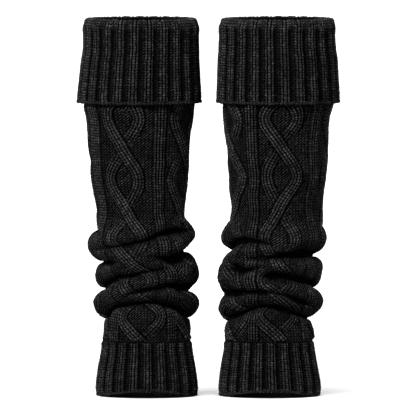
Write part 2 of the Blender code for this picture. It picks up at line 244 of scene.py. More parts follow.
class Crease:
    """One crease between two rolls, running part or all of the way round."""

    def __init__(self, stations: list[tuple[float, ...]]) -> None:
        """Keep the stations: azimuth, height, depth, half of the gap."""
        self.start = stations[0][0]
        self.end = stations[-1][0]
        self.rows = SmoothRows(stations)

    def at(self, azimuth: np.ndarray) -> tuple[np.ndarray, np.ndarray, np.ndarray]:
        """Height, depth and gap at each azimuth; the depth is zero where the crease has ended."""
        turned = self.start + np.mod(azimuth - self.start, 360.0)
        inside = turned <= self.end
        values = self.rows(np.where(inside, turned, self.start))
        depth = np.where(inside, np.maximum(values[..., 1], 0.0), 0.0)
        return values[..., 0], depth, np.maximum(values[..., 2], 0.0)


@dataclass
class LegForm:
    """The large shape of one leg warmer, before any stitch is on it."""

    side: Side
    body: SmoothRows = field(init=False)
    cuff: SmoothRows = field(init=False)
    creases: dict[str, Crease] = field(init=False)

    def __post_init__(self) -> None:
        """Take this side's tables."""
        self.body = SmoothRows(BODY_SECTIONS[self.side])
        self.cuff = SmoothRows(CUFF_SECTIONS[self.side])
        self.creases = {name: Crease(rows) for name, rows in CREASES[self.side].items()}

    def outline(self, azimuth: np.ndarray, height: np.ndarray) -> tuple[np.ndarray, np.ndarray]:
        """Centre and half-width over the rolls, whose lower edge arches up at the front."""
        edge_height = self.creases["slouch_edge"].at(azimuth)[0]
        away = np.clip((height - ARCH_MIDDLE) / ARCH_REACH, -1, 1)
        lowered = height - (edge_height - ARCH_BASE) * np.cos(away * math.pi / 2) ** 2
        sides = self.body(lowered)
        return (sides[..., 0] + sides[..., 1]) / 2, (sides[..., 1] - sides[..., 0]) / 2

    def pulled_in(
        self, azimuth: np.ndarray, height: np.ndarray
    ) -> tuple[np.ndarray, np.ndarray]:
        """How far the creases pull the cloth in, and how near the bottom of a crease it is."""
        deepest = np.zeros(np.broadcast(azimuth, height).shape)
        nearness = np.zeros_like(deepest)
        for crease in self.creases.values():
            middle, depth, gap = crease.at(azimuth)
            away = np.clip((np.abs(height - middle) - gap) / FOLD_ROUND, 0, 1)
            share = 1 - np.sqrt(1 - (1 - away) ** 2)
            deepest = np.maximum(deepest, depth * share)
            nearness = np.maximum(nearness, share * np.clip(depth / FULL_CREASE, 0, 1))
        return deepest, nearness

    def body_points(self, azimuth: np.ndarray, height: np.ndarray) -> np.ndarray:
        """Points on the outer face of the body or ankle band, in millimetres."""
        centre, half_width = self.outline(azimuth, height)
        pulled, _ = self.pulled_in(azimuth, height)
        turn = np.radians(azimuth)
        return np.stack(
            np.broadcast_arrays(
                centre + (half_width - pulled) * np.sin(turn),
                -(half_width * DEPTH_RATIO - pulled) * np.cos(turn),
                height,
            ),
            axis=-1,
        )

    def cuff_points(
        self, azimuth: np.ndarray, height: np.ndarray, inset: np.ndarray, rise: np.ndarray
    ) -> np.ndarray:
        """Points on the cuff: inset from its outline at a height, then raised, in millimetres."""
        sides = self.cuff(height)
        centre = (sides[..., 0] + sides[..., 1]) / 2
        half_width = (sides[..., 1] - sides[..., 0]) / 2
        turn = np.radians(azimuth)
        return np.stack(
            np.broadcast_arrays(
                centre + (half_width - inset) * np.sin(turn),
                -(half_width * DEPTH_RATIO - inset) * np.cos(turn),
                height + rise,
            ),
            axis=-1,
        )


# --------------------------------------------------------------------------- stitches


def knit_texture(across: np.ndarray, along: np.ndarray, notch: float, bead: float) -> np.ndarray:
    """The V stitches of knit wales.

    Args:
        across: stitches from the left edge of the knit wales.
        along: rows, downwards.
        notch: how deep each V is split down its middle.
        bead: how far each leg of a V swells.

    Returns:
        Height over the wales' own surface.
    """
    from_middle = np.abs(across - np.floor(across) - 0.5)
    split = 0.5 + 0.5 * np.cos(2 * math.pi * from_middle)
    leg = 0.5 * np.cos(2 * math.pi * (along + 2 * LEAN * from_middle))
    return bead * leg - notch * split**SPLIT_SHARPNESS


def purl_texture(across: np.ndarray, along: np.ndarray, bead: float) -> np.ndarray:
    """The slanting bumps of purl wales, rising a row with each stitch to the right."""
    ridge = 0.5 * np.cos(2 * math.pi * (along + across))
    swell = 0.6 - 0.4 * np.cos(2 * math.pi * across)
    return bead * ridge * swell


def bell(distance: np.ndarray, width: float) -> np.ndarray:
    """A bell curve, 1 where the distance is 0."""
    return np.exp(-((distance / width) ** 2))


def band_profile(distance: np.ndarray, half_width: float, edge: float) -> np.ndarray:
    """A rounded band's height, from 0 outside it to 1 on top."""
    inside = np.clip((half_width - np.abs(distance)) / edge, 0, 1)
    return np.sqrt(np.clip(1 - (1 - inside) ** 2, 0, 1))


def wrapped(wale: np.ndarray, centre: np.ndarray) -> np.ndarray:
    """Stitches from a centre line, the short way round a body."""
    return np.mod(wale - centre + BODY_WALES / 2, BODY_WALES) - BODY_WALES / 2


@dataclass
class Relief:
    """A knitted pattern over a grid of points.

    Heights are in millimetres from the cloth's own surface. Each point lies on one of the places,
    which are stitch positions counted along that rope, column or ground, and each place is knit
    or purl. Where leans_left is true, the triangles are cut from upper left to lower right.
    """

    height: np.ndarray
    leans_left: np.ndarray
    place: np.ndarray
    places: list[tuple[np.ndarray, np.ndarray]]
    knit: list[bool]


@dataclass(frozen=True)
class RibChart:
    """Two knit, two purl ribbing; widths are in stitches and heights in millimetres."""

    top: float = 0.4
    crown: float = 0.4  # how much lower a rib is one stitch from its middle
    valley: float = -2.6
    half_width: float = 1.14
    shoulder: float = 0.4
    spread: float = 1.1  # how much closer than their places a rib's wales stand
    notch: float = 1.2
    bead: float = 0.7
    purl_bead: float = 1.1
    lee: float = 0.75  # how deep the valley's dark side is
    lee_bells: tuple = ((2.5, 0.45, 1.0), (3.4, 0.5, -0.6))  # its places, widths and shares

    REPEAT = 4.0
    MIDDLE = 1.0  # where in a repeat the rib's middle is

    def relief(self, wale: np.ndarray, row: np.ndarray, flatness: np.ndarray) -> Relief:
        """The ribbing's relief; flatness from 0 to 1 fills its valleys."""
        across = np.mod(wale, self.REPEAT)
        from_rib = np.abs(across - self.MIDDLE)
        from_rib = np.minimum(from_rib, self.REPEAT - from_rib)
        knit = band_profile(from_rib, self.half_width, self.shoulder)
        valley = self.valley + (self.top - self.valley) * flatness
        drawn = self.MIDDLE + self.spread * (across - self.MIDDLE)
        ribs = knit_texture(drawn, row, self.notch, self.bead) + self.top
        ribs = ribs - self.crown * from_rib**2
        lee = sum(share * bell(across - at, width) for at, width, share in self.lee_bells)
        dips = purl_texture(across, row, self.purl_bead) + valley
        dips = dips - self.lee * lee * (1 - flatness)
        on_rib = knit > ON_TOP
        return Relief(
            height=dips + (ribs - dips) * knit,
            leans_left=on_rib & (np.mod(across, 1.0) < 0.5),
            place=on_rib.astype(int),
            places=[(wale, row), (wale, row)],
            knit=[False, True],
        )


@dataclass(frozen=True)
class Strand:
    """A rope of three knit wales that wanders over the ground.

    Its path is in stitches, its slope in stitches a row, and its lift and half-width in
    millimetres.
    """

    path: np.ndarray
    slope: np.ndarray
    lift: np.ndarray
    half_width: float = 6.0

    TILT = 0.7  # how far the strand's rows turn with it
    WALES = 3
    WALE_SHARE = 0.59  # a wale's width over the strand's half-width

    def stitches(self, wale: np.ndarray, row: np.ndarray) -> tuple[np.ndarray, np.ndarray]:
        """Millimetres from the strand's middle, square to it, and rows along it."""
        lean = self.slope * WALE_MM / ROW_MM
        aside = wrapped(wale, self.path) * WALE_MM
        along = row + self.TILT * aside / ROW_MM * lean / (1 + lean**2)
        return aside / np.sqrt(1 + lean**2), along


@dataclass(frozen=True)
class CableChart:
    """Cables and plain columns on a reverse-stockinette ground.

    Places round the body and widths are in stitches, places down it in rows, and heights in
    millimetres.
    """

    cables: tuple[tuple[float, float], ...]  # centre, and how many rows later it crosses
    columns: tuple[tuple[float, int], ...]  # centre, and how many wales
    crossings: tuple[float, ...]
    crossed_back: tuple[int, ...] = ()  # the crossings whose other strand passes over
    stubs: tuple[tuple[float, float, float, float], ...] = ()  # wale and row of top, then of foot
    sway: float = 4.3
    sway_at_ankle: float = 6.3
    ankle_from: float = 86.0
    ground: float = -1.7
    ground_bead: float = 1.5
    column_top: float = 0.3
    column_notch: float = 1.7
    column_bead: float = 0.4
    column_spread: float = 1.13  # how much closer than their places a column's wales stand
    column_margin: float = 0.03  # how far a column reaches past its own wales
    column_edge: float = 0.4
    column_groove: tuple[float, float, float] = (0.6, 0.4, 0.35)  # depth, distance, width
    strand_top: float = 0.6
    strand_notch: float = 1.0
    strand_bead: float = 0.45
    strand_crown: float = 0.35
    strand_edge: float = 1.2
    strand_root: float = 0.6  # how far into the ground its sides go
    strand_grooves: tuple[float, float] = (1.3, 0.6)  # depths on its right and on its left
    groove_place: tuple[float, float] = (0.9, 1.1)  # their distance from it and their width
    groove_below: float = 1.2  # they only sink what lies this far below the strand
    groove_fades: float = 2.0  # how far a strand sinks under another before they are gone
    crossing_rows: float = 5.5  # how far from a crossing a strand starts to lift
    over: float = 0.7  # how far the upper strand lifts there
    under: float = 1.9  # how far the lower strand sinks
    flattened: float = 0.5  # how much of the relief the rolls press out

    SWAY_BEND = 0.07  # straightens a strand between its crossings
    SWAY_WIDENS = 6  # rows over which the sway changes to the ankle's
    SLOPE_STEP = 0.5  # rows up and down, between which a strand's slope is taken
    STUB_LIFT = -0.8
    STUB_BURIED = 3.0  # how far below that a stub's ends lie
    STUB_RISES = 3  # rows over which a stub comes up at its top
    STUB_SINKS = 4  # rows over which it goes down at its foot
    STUB_HALF_WIDTH = 4.8

    def strands(self, row: np.ndarray) -> list[Strand]:
        """Every cable's two strands, of which the one down to the right passes over, and stubs."""
        turns = np.arange(len(self.crossings), dtype=float)
        step, bend = self.SLOPE_STEP, self.SWAY_BEND
        near_ankle = np.clip((row - self.ankle_from) / self.SWAY_WIDENS + 1, 0, 1)
        sway = self.sway + (self.sway_at_ankle - self.sway) * near_ankle
        found = []
        for centre, later in self.cables:
            crossings = np.array(self.crossings) + later
            phase = np.interp(row, crossings, turns)
            rate = np.interp(row + step, crossings, turns) - np.interp(
                row - step, crossings, turns
            )
            nearest = np.abs(phase - np.round(phase)) / np.maximum(rate, 1e-6)
            at_crossing = bell(nearest, self.crossing_rows)
            back = np.where(np.isin(np.round(phase), self.crossed_back), -1.0, 1.0)
            turn = math.pi * phase
            sideways = (np.sin(turn) - bend * np.sin(3 * turn)) / (1 + bend)
            rise = (np.cos(turn) - 3 * bend * np.cos(3 * turn)) / (1 + bend)
            for sign in (1.0, -1.0):
                slope = sign * sway * math.pi * rate * rise
                over = np.sign(slope) * at_crossing * back
                found.append(
                    Strand(
                        path=centre + sign * sway * sideways,
                        slope=slope,
                        lift=np.where(over > 0, self.over * over, self.under * over),
                    )
                )
        for wale_top, row_top, wale_foot, row_foot in self.stubs:
            slope = (wale_foot - wale_top) / (row_foot - row_top)
            fade = np.clip((row - row_top) / self.STUB_RISES + 1, 0, 1)
            fade = fade * np.clip((row_foot - row) / self.STUB_SINKS, 0, 1)
            found.append(
                Strand(
                    path=wale_top + slope * (row - row_top),
                    slope=np.full_like(row, slope),
                    lift=self.STUB_LIFT - self.STUB_BURIED * (1 - fade),
                    half_width=self.STUB_HALF_WIDTH,
                )
            )
        return found

    def relief(self, wale: np.ndarray, row: np.ndarray, flatness: np.ndarray) -> Relief:
        """The pattern's relief; flatness from 0 to 1 presses it down."""
        height = purl_texture(wale, row, self.ground_bead) + self.ground
        leans_left = np.zeros(height.shape, dtype=bool)
        place = np.zeros(height.shape, dtype=int)
        places, knit = [(wale, row)], [False]
        groove_depth, groove_away, groove_width = self.column_groove
        for centre, wales in self.columns:
            gap = wrapped(wale, centre)
            across = self.column_spread * gap + wales / 2
            band = band_profile(gap, wales / 2 + self.column_margin, self.column_edge)
            groove = bell(gap - wales / 2 - groove_away, groove_width)
            height = height - groove_depth * groove
            stitches = knit_texture(across, row, self.column_notch, self.column_bead)
            stitches = stitches + self.column_top
            height = np.where(band > 0, height + (stitches - height) * band, height)
            on_top = band > ON_TOP
            leans_left = np.where(on_top, np.mod(across, 1.0) < 0.5, leans_left)
            place = np.where(on_top, len(places), place)
            places.append((across, row))
            knit.append(True)
        groove_away, groove_width = self.groove_place
        for strand in self.strands(row):
            away, along = strand.stitches(wale, row)
            top = self.strand_top + strand.lift
            band = band_profile(away, strand.half_width, self.strand_edge)
            groove = bell(np.abs(away) - strand.half_width - groove_away, groove_width)
            groove = groove * np.where(away > 0, *self.strand_grooves)
            shown = np.clip(self.groove_fades + strand.lift, 0, 1)
            height = height - groove * (height < top - self.groove_below) * shown
            across = away / (strand.half_width * strand.WALE_SHARE) + strand.WALES / 2
            dome = -self.strand_crown * (away / strand.half_width) ** 2
            stitches = knit_texture(across, along, self.strand_notch, self.strand_bead)
            stitches = stitches + dome + top
            root = self.ground - self.strand_root
            rope = root + (stitches - root) * band
            on_top = (band > 0) & (rope > height)
            height = np.where(on_top, rope, height)
            leans_left = np.where(on_top, strand.slope > 0, leans_left)
            place = np.where(on_top, len(places), place)
            places.append((across, along))
            knit.append(True)
        middle = (self.ground + self.strand_top) / 2
        return Relief(
            height=height + (middle - height) * self.flattened * flatness,
            leans_left=leans_left,
            place=place,
            places=places,
            knit=knit,
        )


# --------------------------------------------------------------------------- meshes


def blurred(values: np.ndarray, passes: int) -> np.ndarray:
    """Soften values down the rows and round the columns of a tube's grid."""
    for _ in range(passes):
        padded = np.concatenate([values[:1], values, values[-1:]])
        values = (padded[:-2] + 2 * values + padded[2:]) / 4
        values = (np.roll(values, 1, axis=1) + 2 * values + np.roll(values, -1, axis=1)) / 4
    return values


def unit(vectors: np.ndarray) -> np.ndarray:
    """The vectors at length 1."""
    return vectors / np.maximum(np.linalg.norm(vectors, axis=-1, keepdims=True), 1e-9)


def surface_normals(points: np.ndarray, passes: int) -> np.ndarray:
    """Outward normals of a tube's grid of points.

    Args:
        points: rows from top to foot, columns turning from the front towards +X.
        passes: how often the normals are softened.

    Returns:
        A unit vector for each point.
    """
    down = np.gradient(points, axis=0)
    round_ = np.roll(points, -1, axis=1) - np.roll(points, 1, axis=1)
    return unit(blurred(unit(np.cross(round_, -down)), passes))


def linked(name: str, data) -> bpy.types.Object:
    """A new object in the scene, at the origin."""
    made = bpy.data.objects.new(name, data)
    bpy.context.scene.collection.objects.link(made)
    return made


def add_values(mesh: bpy.types.Mesh, name: str, domain: str, values: np.ndarray) -> None:
    """Store a number for each of a mesh's points or faces."""
    attribute = mesh.attributes.new(name, "FLOAT", domain)
    attribute.data.foreach_set("value", values.astype(np.float32))


@dataclass
class KnitGrid:
    """A knitted outer face, rows from top to foot, ready to be cut into pieces.

    The depth is painted shade: how far out of the crevices and folds each point lies, from 0,
    painted black, upwards.
    """

    # The inner faces are painted darker, at this depth.
    INNER_PAINTED_SHADE = 0.4

    outer: np.ndarray
    wale: np.ndarray
    row: np.ndarray
    wales: int
    relief: Relief
    depth: np.ndarray

    def piece(
        self, name: str, inner: np.ndarray, inner_row: np.ndarray, rows: slice = slice(None)
    ) -> bpy.types.Object:
        """Make one closed, hollow knitted piece.

        Args:
            name: the piece's name.
            inner: the inner face's points, rows from top to foot, in millimetres.
            inner_row: the stitch row of each of the inner face's rings.
            rows: which of the outer face's rows it has.

        Returns:
            The piece, linked to the scene, with its stitch places as a UV map and its painted
            shade, named depth, and kind of stitch as attributes.
        """
        outer = self.outer[rows]
        ring_count, columns = outer.shape[:2]
        inner_count = inner.shape[0]
        points = np.concatenate([outer.reshape(-1, 3), inner.reshape(-1, 3)]) * MM
        outside = np.arange(ring_count * columns).reshape(ring_count, columns)
        inside = outside.size + np.arange(inner_count * columns).reshape(inner_count, columns)
        upper, lower = outside[:-1], outside[1:]
        corners = np.stack([upper, lower, np.roll(lower, -1, 1), np.roll(upper, -1, 1)])
        highest = np.argmax(self.relief.height[rows].reshape(-1)[corners], axis=0)
        chosen = np.take_along_axis(corners, highest[None], axis=0)[0]
        face_place = self.relief.place[rows].reshape(-1)[chosen]

        faces, owners = [], []
        for top, foot, left, owner in (
            (upper, lower, self.relief.leans_left[rows][:-1], face_place),
            (inside[1:], inside[:-1], False, -1),
            (inside[:1], outside[:1], False, -1),
            (outside[-1:], inside[-1:], False, -1),
        ):
            made, owned = self._triangles(top, foot, left, owner)
            faces.append(made)
            owners.append(owned)
        faces, owners = np.concatenate(faces), np.concatenate(owners)
        mesh = bpy.data.meshes.new(name)
        mesh.from_pydata(points.tolist(), [], faces.tolist())
        mesh.shade_smooth()
        self._add_places(mesh, faces, owners, rows, inner_row)
        inner_painted_shade = np.full(inside.size, self.INNER_PAINTED_SHADE)
        add_values(mesh, "knit", "FACE", np.array([*self.relief.knit, True])[owners])
        add_values(
            mesh, "depth", "POINT", np.concatenate([self.depth[rows].reshape(-1), inner_painted_shade])
        )
        self._sharpen_rims(mesh, [outside[0], outside[-1], inside[0], inside[-1]], columns)
        return linked(name, mesh)

    @staticmethod
    def _triangles(upper, lower, leans_left, owner) -> tuple[np.ndarray, np.ndarray]:
        """Two triangles for each face between rings of points, seen from outside.

        Args:
            upper: corner numbers of the upper rings.
            lower: corner numbers of the lower rings.
            leans_left: which faces are cut from upper left to lower right.
            owner: the place that each face lies on.

        Returns:
            The triangles' corner numbers and their places.
        """
        a, b = upper.reshape(-1), lower.reshape(-1)
        c, d = np.roll(lower, -1, 1).reshape(-1), np.roll(upper, -1, 1).reshape(-1)
        left = np.broadcast_to(leans_left, upper.shape).reshape(-1)[:, None]
        owner = np.broadcast_to(owner, upper.shape).reshape(-1)
        first = np.where(left, np.stack([a, b, c], 1), np.stack([a, b, d], 1))
        second = np.where(left, np.stack([a, c, d], 1), np.stack([b, c, d], 1))
        return np.concatenate([first, second]), np.concatenate([owner, owner])

    def _add_places(self, mesh, faces, owners, rows: slice, inner_row: np.ndarray) -> None:
        """Give the piece its UV map: stitch positions, counted along each face's own place."""
        columns = self.wale.shape[1]
        uv = np.empty((*faces.shape, 2))
        inner_wale = np.broadcast_to(self.wale[:1], (len(inner_row), columns))
        inner_rows = np.broadcast_to(inner_row[:, None], inner_wale.shape)
        every = list(enumerate(self.relief.places)) + [(-1, (self.wale, self.row))]
        for number, (across, along) in every:
            mine = owners == number
            if not mine.any():
                continue
            x = np.concatenate([across[rows].reshape(-1), inner_wale.reshape(-1)])[faces[mine]]
            y = np.concatenate([along[rows].reshape(-1), inner_rows.reshape(-1)])[faces[mine]]
            jump = (x.max(axis=1) - x.min(axis=1)) > self.wales / 4
            middle = (x.max(axis=1) + x.min(axis=1))[:, None] / 2
            x = x + np.where(jump[:, None] & (x < middle), self.wales, 0)
            uv[mine] = np.stack([x, y], axis=-1)
        layer = mesh.uv_layers.new(name=PLACES)
        layer.data.foreach_set("uv", (uv * PLACE_SCALE).astype(np.float32).reshape(-1))

    @staticmethod
    def _sharpen_rims(mesh, rings: list[np.ndarray], columns: int) -> None:
        """Mark the edges round the piece's rims as sharp."""
        ends = np.empty(len(mesh.edges) * 2, dtype=np.int32)
        mesh.edges.foreach_get("vertices", ends)
        ends = ends.reshape(-1, 2)
        ring_of = ends // columns
        rims = np.array([ring[0] // columns for ring in rings])
        on_rim = (ring_of[:, 0] == ring_of[:, 1]) & np.isin(ring_of[:, 0], rims)
        sharp = mesh.attributes.new("sharp_edge", "BOOLEAN", "EDGE")
        sharp.data.foreach_set("value", on_rim)


@dataclass
class Unevenness:
    """Small differences from stitch to stitch, the same each time."""

    seed: int

    def stitches(self, rows: int, wales: int) -> np.ndarray:
        """A value for every stitch, from -1 to 1."""
        return np.random.default_rng(self.seed).uniform(-1, 1, (rows + 2, wales))

    def over(self, wale: np.ndarray, row: np.ndarray, wales: int) -> np.ndarray:
        """The stitches' values spread smoothly over a grid."""
        low_row = row - row.min()
        table = self.stitches(int(low_row.max()) + 2, wales)
        r0 = np.floor(low_row).astype(int)
        w0 = np.floor(wale).astype(int)
        fr = low_row - r0
        fw = wale - w0
        fr, fw = fr * fr * (3 - 2 * fr), fw * fw * (3 - 2 * fw)
        a = table[r0, w0 % wales] * (1 - fw) + table[r0, (w0 + 1) % wales] * fw
        b = table[r0 + 1, w0 % wales] * (1 - fw) + table[r0 + 1, (w0 + 1) % wales] * fw
        return a * (1 - fr) + b * fr


# --------------------------------------------------------------------------- finishes


def socket(tree: bpy.types.NodeTree, name: str, kind: str, way: str, value=None):
    """Add a named socket to a node group's outside.

    Args:
        tree: the node group.
        name: the socket's name.
        kind: its type.
        way: INPUT or OUTPUT.
        value: its default, if it has one.

    Returns:
        The new interface socket.
    """
    item = tree.interface.new_socket(name=name, in_out=way, socket_type=kind)
    if value is not None:
        item.default_value = value
    return item


class YarnSurface:
    """The node group that all the yarn shares: crevices, painted as shade in the colour and raised
    as a bump, fibres, colour and roughness.
    """

    NAME = "Yarn surface"

    # Smooth steps: from, to, and the values there if they aren't 0 and 1.
    # The first three shape the crevices, which are painted shade in the colour as well as a bump.
    SPLIT_LINE = (0.0, 0.28)
    PURL_GAP = (0.5, 0.3)
    PLUMP = (0.08, 1.0)
    SPECK = (0.3, 0.72, 0.6, 1.27)
    MOTTLE = (0.3, 0.7, 0.8, 1.15)
    HAIR = (0.35, 0.7, 0.6, 1.3)
    ROUGHNESS = (0.2, 0.8, 0.8, 0.98)

    KNIT_FLOOR = 0.38  # how light the line between two knit rows stays, in the painted shade and in the bump
    PURL_FLOOR = 0.35  # how light the line between two purl wales stays, in the painted shade and in the bump
    CREVICE_PAINTED_SHADE = 0.95  # the share of the colour that the painted shade in the crevices can take away
    TUFT_SCALE = 420.0
    PATCH_SCALE = 60.0

    def __init__(self) -> None:
        """Start an empty group with its sockets."""
        self.tree = bpy.data.node_groups.new(self.NAME, "ShaderNodeTree")
        tree = self.tree
        # Deep Colour is the painted shade's colour, Lit Colour the yarn's colour where no shade is
        # painted.
        socket(tree, "Deep Colour", "NodeSocketColor", "INPUT", (0.001, 0.001, 0.001, 1))
        socket(tree, "Lit Colour", "NodeSocketColor", "INPUT", (0.03, 0.03, 0.03, 1))
        socket(tree, "Stitch Depth", "NodeSocketFloat", "INPUT", 0.0006)
        socket(tree, "Fibre Depth", "NodeSocketFloat", "INPUT", 0.0003)
        socket(tree, "Fibre Scale", "NodeSocketFloat", "INPUT", 1100.0)
        socket(tree, "Knit Lean", "NodeSocketFloat", "INPUT", 2 * LEAN)
        socket(tree, "Contrast", "NodeSocketFloat", "INPUT", 1.5)
        socket(tree, "Color", "NodeSocketColor", "OUTPUT")
        socket(tree, "Roughness", "NodeSocketFloat", "OUTPUT")
        socket(tree, "Normal", "NodeSocketVector", "OUTPUT")
        self.given = tree.nodes.new("NodeGroupInput")
        self.out = tree.nodes.new("NodeGroupOutput")

    @classmethod
    def group(cls) -> bpy.types.NodeTree:
        """The group, made on first use."""
        return bpy.data.node_groups.get(cls.NAME) or cls()._build()

    def _plug(self, target: bpy.types.NodeSocket, value) -> None:
        """Link a socket to an output, or set it to a number."""
        if isinstance(value, bpy.types.NodeSocket):
            self.tree.links.new(value, target)
        else:
            target.default_value = value

    def _math(self, operation: str, *values) -> bpy.types.NodeSocket:
        """One Math node's output, from sockets or numbers."""
        node = self.tree.nodes.new("ShaderNodeMath")
        node.operation = operation
        for target, value in zip(node.inputs, values):
            self._plug(target, value)
        return node.outputs["Value"]

    def _ramp(self, value, low: float, high: float, to_low=0.0, to_high=1.0):
        """A smooth step from one value to another."""
        node = self.tree.nodes.new("ShaderNodeMapRange")
        node.interpolation_type = "SMOOTHSTEP"
        for name, number in (
            ("Value", value), ("From Min", low), ("From Max", high),
            ("To Min", to_low), ("To Max", to_high),
        ):
            self._plug(node.inputs[name], number)
        return node.outputs["Result"]

    def _mix(self, factor, a, b) -> bpy.types.NodeSocket:
        """A number between two others."""
        node = self.tree.nodes.new("ShaderNodeMix")
        self._plug(node.inputs["Factor"], factor)
        self._plug(node.inputs["A"], a)
        self._plug(node.inputs["B"], b)
        return node.outputs["Result"]

    def _attribute(self, name: str) -> bpy.types.NodeSocket:
        """A number stored on the mesh."""
        node = self.tree.nodes.new("ShaderNodeAttribute")
        node.attribute_name = name
        return node.outputs["Fac"]

    def _noise(self, vector, scale, detail: float) -> bpy.types.NodeSocket:
        """Noise between about 0 and 1."""
        node = self.tree.nodes.new("ShaderNodeTexNoise")
        self._plug(node.inputs["Vector"], vector)
        self._plug(node.inputs["Scale"], scale)
        node.inputs["Detail"].default_value = detail
        node.inputs["Roughness"].default_value = 0.6
        return node.outputs["Fac"]

    def _wave(self, turns) -> bpy.types.NodeSocket:
        """A wave from 0 to 1, highest at whole turns."""
        angle = self._math("MULTIPLY", turns, 2 * math.pi)
        return self._math("MULTIPLY_ADD", self._math("COSINE", angle), 0.5, 0.5)

    def _build(self) -> bpy.types.NodeTree:
        """Make the group's nodes and links."""
        nodes, links = self.tree.nodes, self.tree.links
        stitches = nodes.new("ShaderNodeUVMap")
        stitches.uv_map = PLACES
        split = nodes.new("ShaderNodeSeparateXYZ")
        links.new(stitches.outputs["UV"], split.inputs["Vector"])
        across = self._math("MULTIPLY", split.outputs["X"], 1 / PLACE_SCALE)
        along = self._math("MULTIPLY", split.outputs["Y"], 1 / PLACE_SCALE)
        knit = self._attribute("knit")
        depth = self._attribute("depth")

        part = self._math("FRACT", across)
        off_middle = self._math("ABSOLUTE", self._math("SUBTRACT", part, 0.5))
        leg_turn = self._math(
            "ADD", along, self._math("MULTIPLY", off_middle, self.given.outputs["Knit Lean"])
        )
        purl_turn = self._math("ADD", along, across)
        row_wave = self._wave(self._mix(knit, purl_turn, leg_turn))
        split_line = self._ramp(off_middle, *self.SPLIT_LINE)
        purl_gap = self._ramp(off_middle, *self.PURL_GAP)
        side = self._mix(knit, self._mix(self.PURL_FLOOR, purl_gap, 1.0), split_line)
        row_floor = self._math("MULTIPLY", knit, self.KNIT_FLOOR)
        plump = self._ramp(row_wave, *self.PLUMP, row_floor)
        # The crevices: painted shade in the colour below, and the bump's height.
        crevice = self._math("MULTIPLY", plump, side)

        where = nodes.new("ShaderNodeTexCoord").outputs["Object"]
        fibre = self._noise(where, self.given.outputs["Fibre Scale"], 3.0)
        tuft = self._noise(where, self.TUFT_SCALE, 2.0)
        patch = self._noise(where, self.PATCH_SCALE, 2.0)

        # Painted shade: the crevices and the depth attribute darken the colour, and the noises
        # vary its tone at random.
        light = self._math("MULTIPLY", self._mix(self.CREVICE_PAINTED_SHADE, 1.0, crevice), depth)
        for noise, ramp in ((tuft, self.SPECK), (patch, self.MOTTLE), (fibre, self.HAIR)):
            light = self._math("MULTIPLY", light, self._ramp(noise, *ramp))
        light = self._math("POWER", light, self.given.outputs["Contrast"])
        shade = nodes.new("ShaderNodeMix")
        shade.data_type = "RGBA"
        shade.clamp_factor = False
        links.new(light, shade.inputs["Factor"])
        links.new(self.given.outputs["Deep Colour"], shade.inputs["A"])
        links.new(self.given.outputs["Lit Colour"], shade.inputs["B"])
        links.new(shade.outputs["Result"], self.out.inputs["Color"])
        links.new(self._ramp(patch, *self.ROUGHNESS), self.out.inputs["Roughness"])

        rise = self._math("MULTIPLY", crevice, self.given.outputs["Stitch Depth"])
        fuzz = self._math("MULTIPLY", fibre, self.given.outputs["Fibre Depth"])
        bump = nodes.new("ShaderNodeBump")
        bump.inputs["Strength"].default_value = 1.0
        bump.inputs["Distance"].default_value = 1.0
        links.new(self._math("ADD", rise, fuzz), bump.inputs["Height"])
        links.new(bump.outputs["Normal"], self.out.inputs["Normal"])
        return self.tree


@dataclass(frozen=True)
class YarnFinish:
    """Near-black charcoal yarn, soft and slightly fuzzy."""

    name: str
    # deep is the colour of the painted shade in crevices and folds, lit the yarn's colour where
    # none is painted.
    deep: tuple[float, float, float] = (0.0004, 0.0004, 0.0004)
    lit: tuple[float, float, float] = (0.073, 0.0739, 0.073)
    stitch_depth: float = 0.0006
    fibre_depth: float = 0.0003
    specular: float = 0.01
    sheen: float = 0.008
    sheen_roughness: float = 0.35

    def material(self) -> bpy.types.Material:
        """Make the material."""
        material = bpy.data.materials.new(self.name)
        material.use_nodes = True
        nodes, links = material.node_tree.nodes, material.node_tree.links
        shader = nodes["Principled BSDF"]
        yarn = nodes.new("ShaderNodeGroup")
        yarn.node_tree = YarnSurface.group()
        for node, name, value in (
            (yarn, "Deep Colour", (*self.deep, 1.0)),
            (yarn, "Lit Colour", (*self.lit, 1.0)),
            (yarn, "Stitch Depth", self.stitch_depth),
            (yarn, "Fibre Depth", self.fibre_depth),
            (shader, "Metallic", 0.0),
            (shader, "Specular IOR Level", self.specular),
            (shader, "Sheen Weight", self.sheen),
            (shader, "Sheen Roughness", self.sheen_roughness),
        ):
            node.inputs[name].default_value = value
        for made, wanted in (
            ("Color", "Base Color"), ("Roughness", "Roughness"), ("Normal", "Normal"),
        ):
            links.new(yarn.outputs[made], shader.inputs[wanted])
        return material


# --------------------------------------------------------------------------- hem stitches


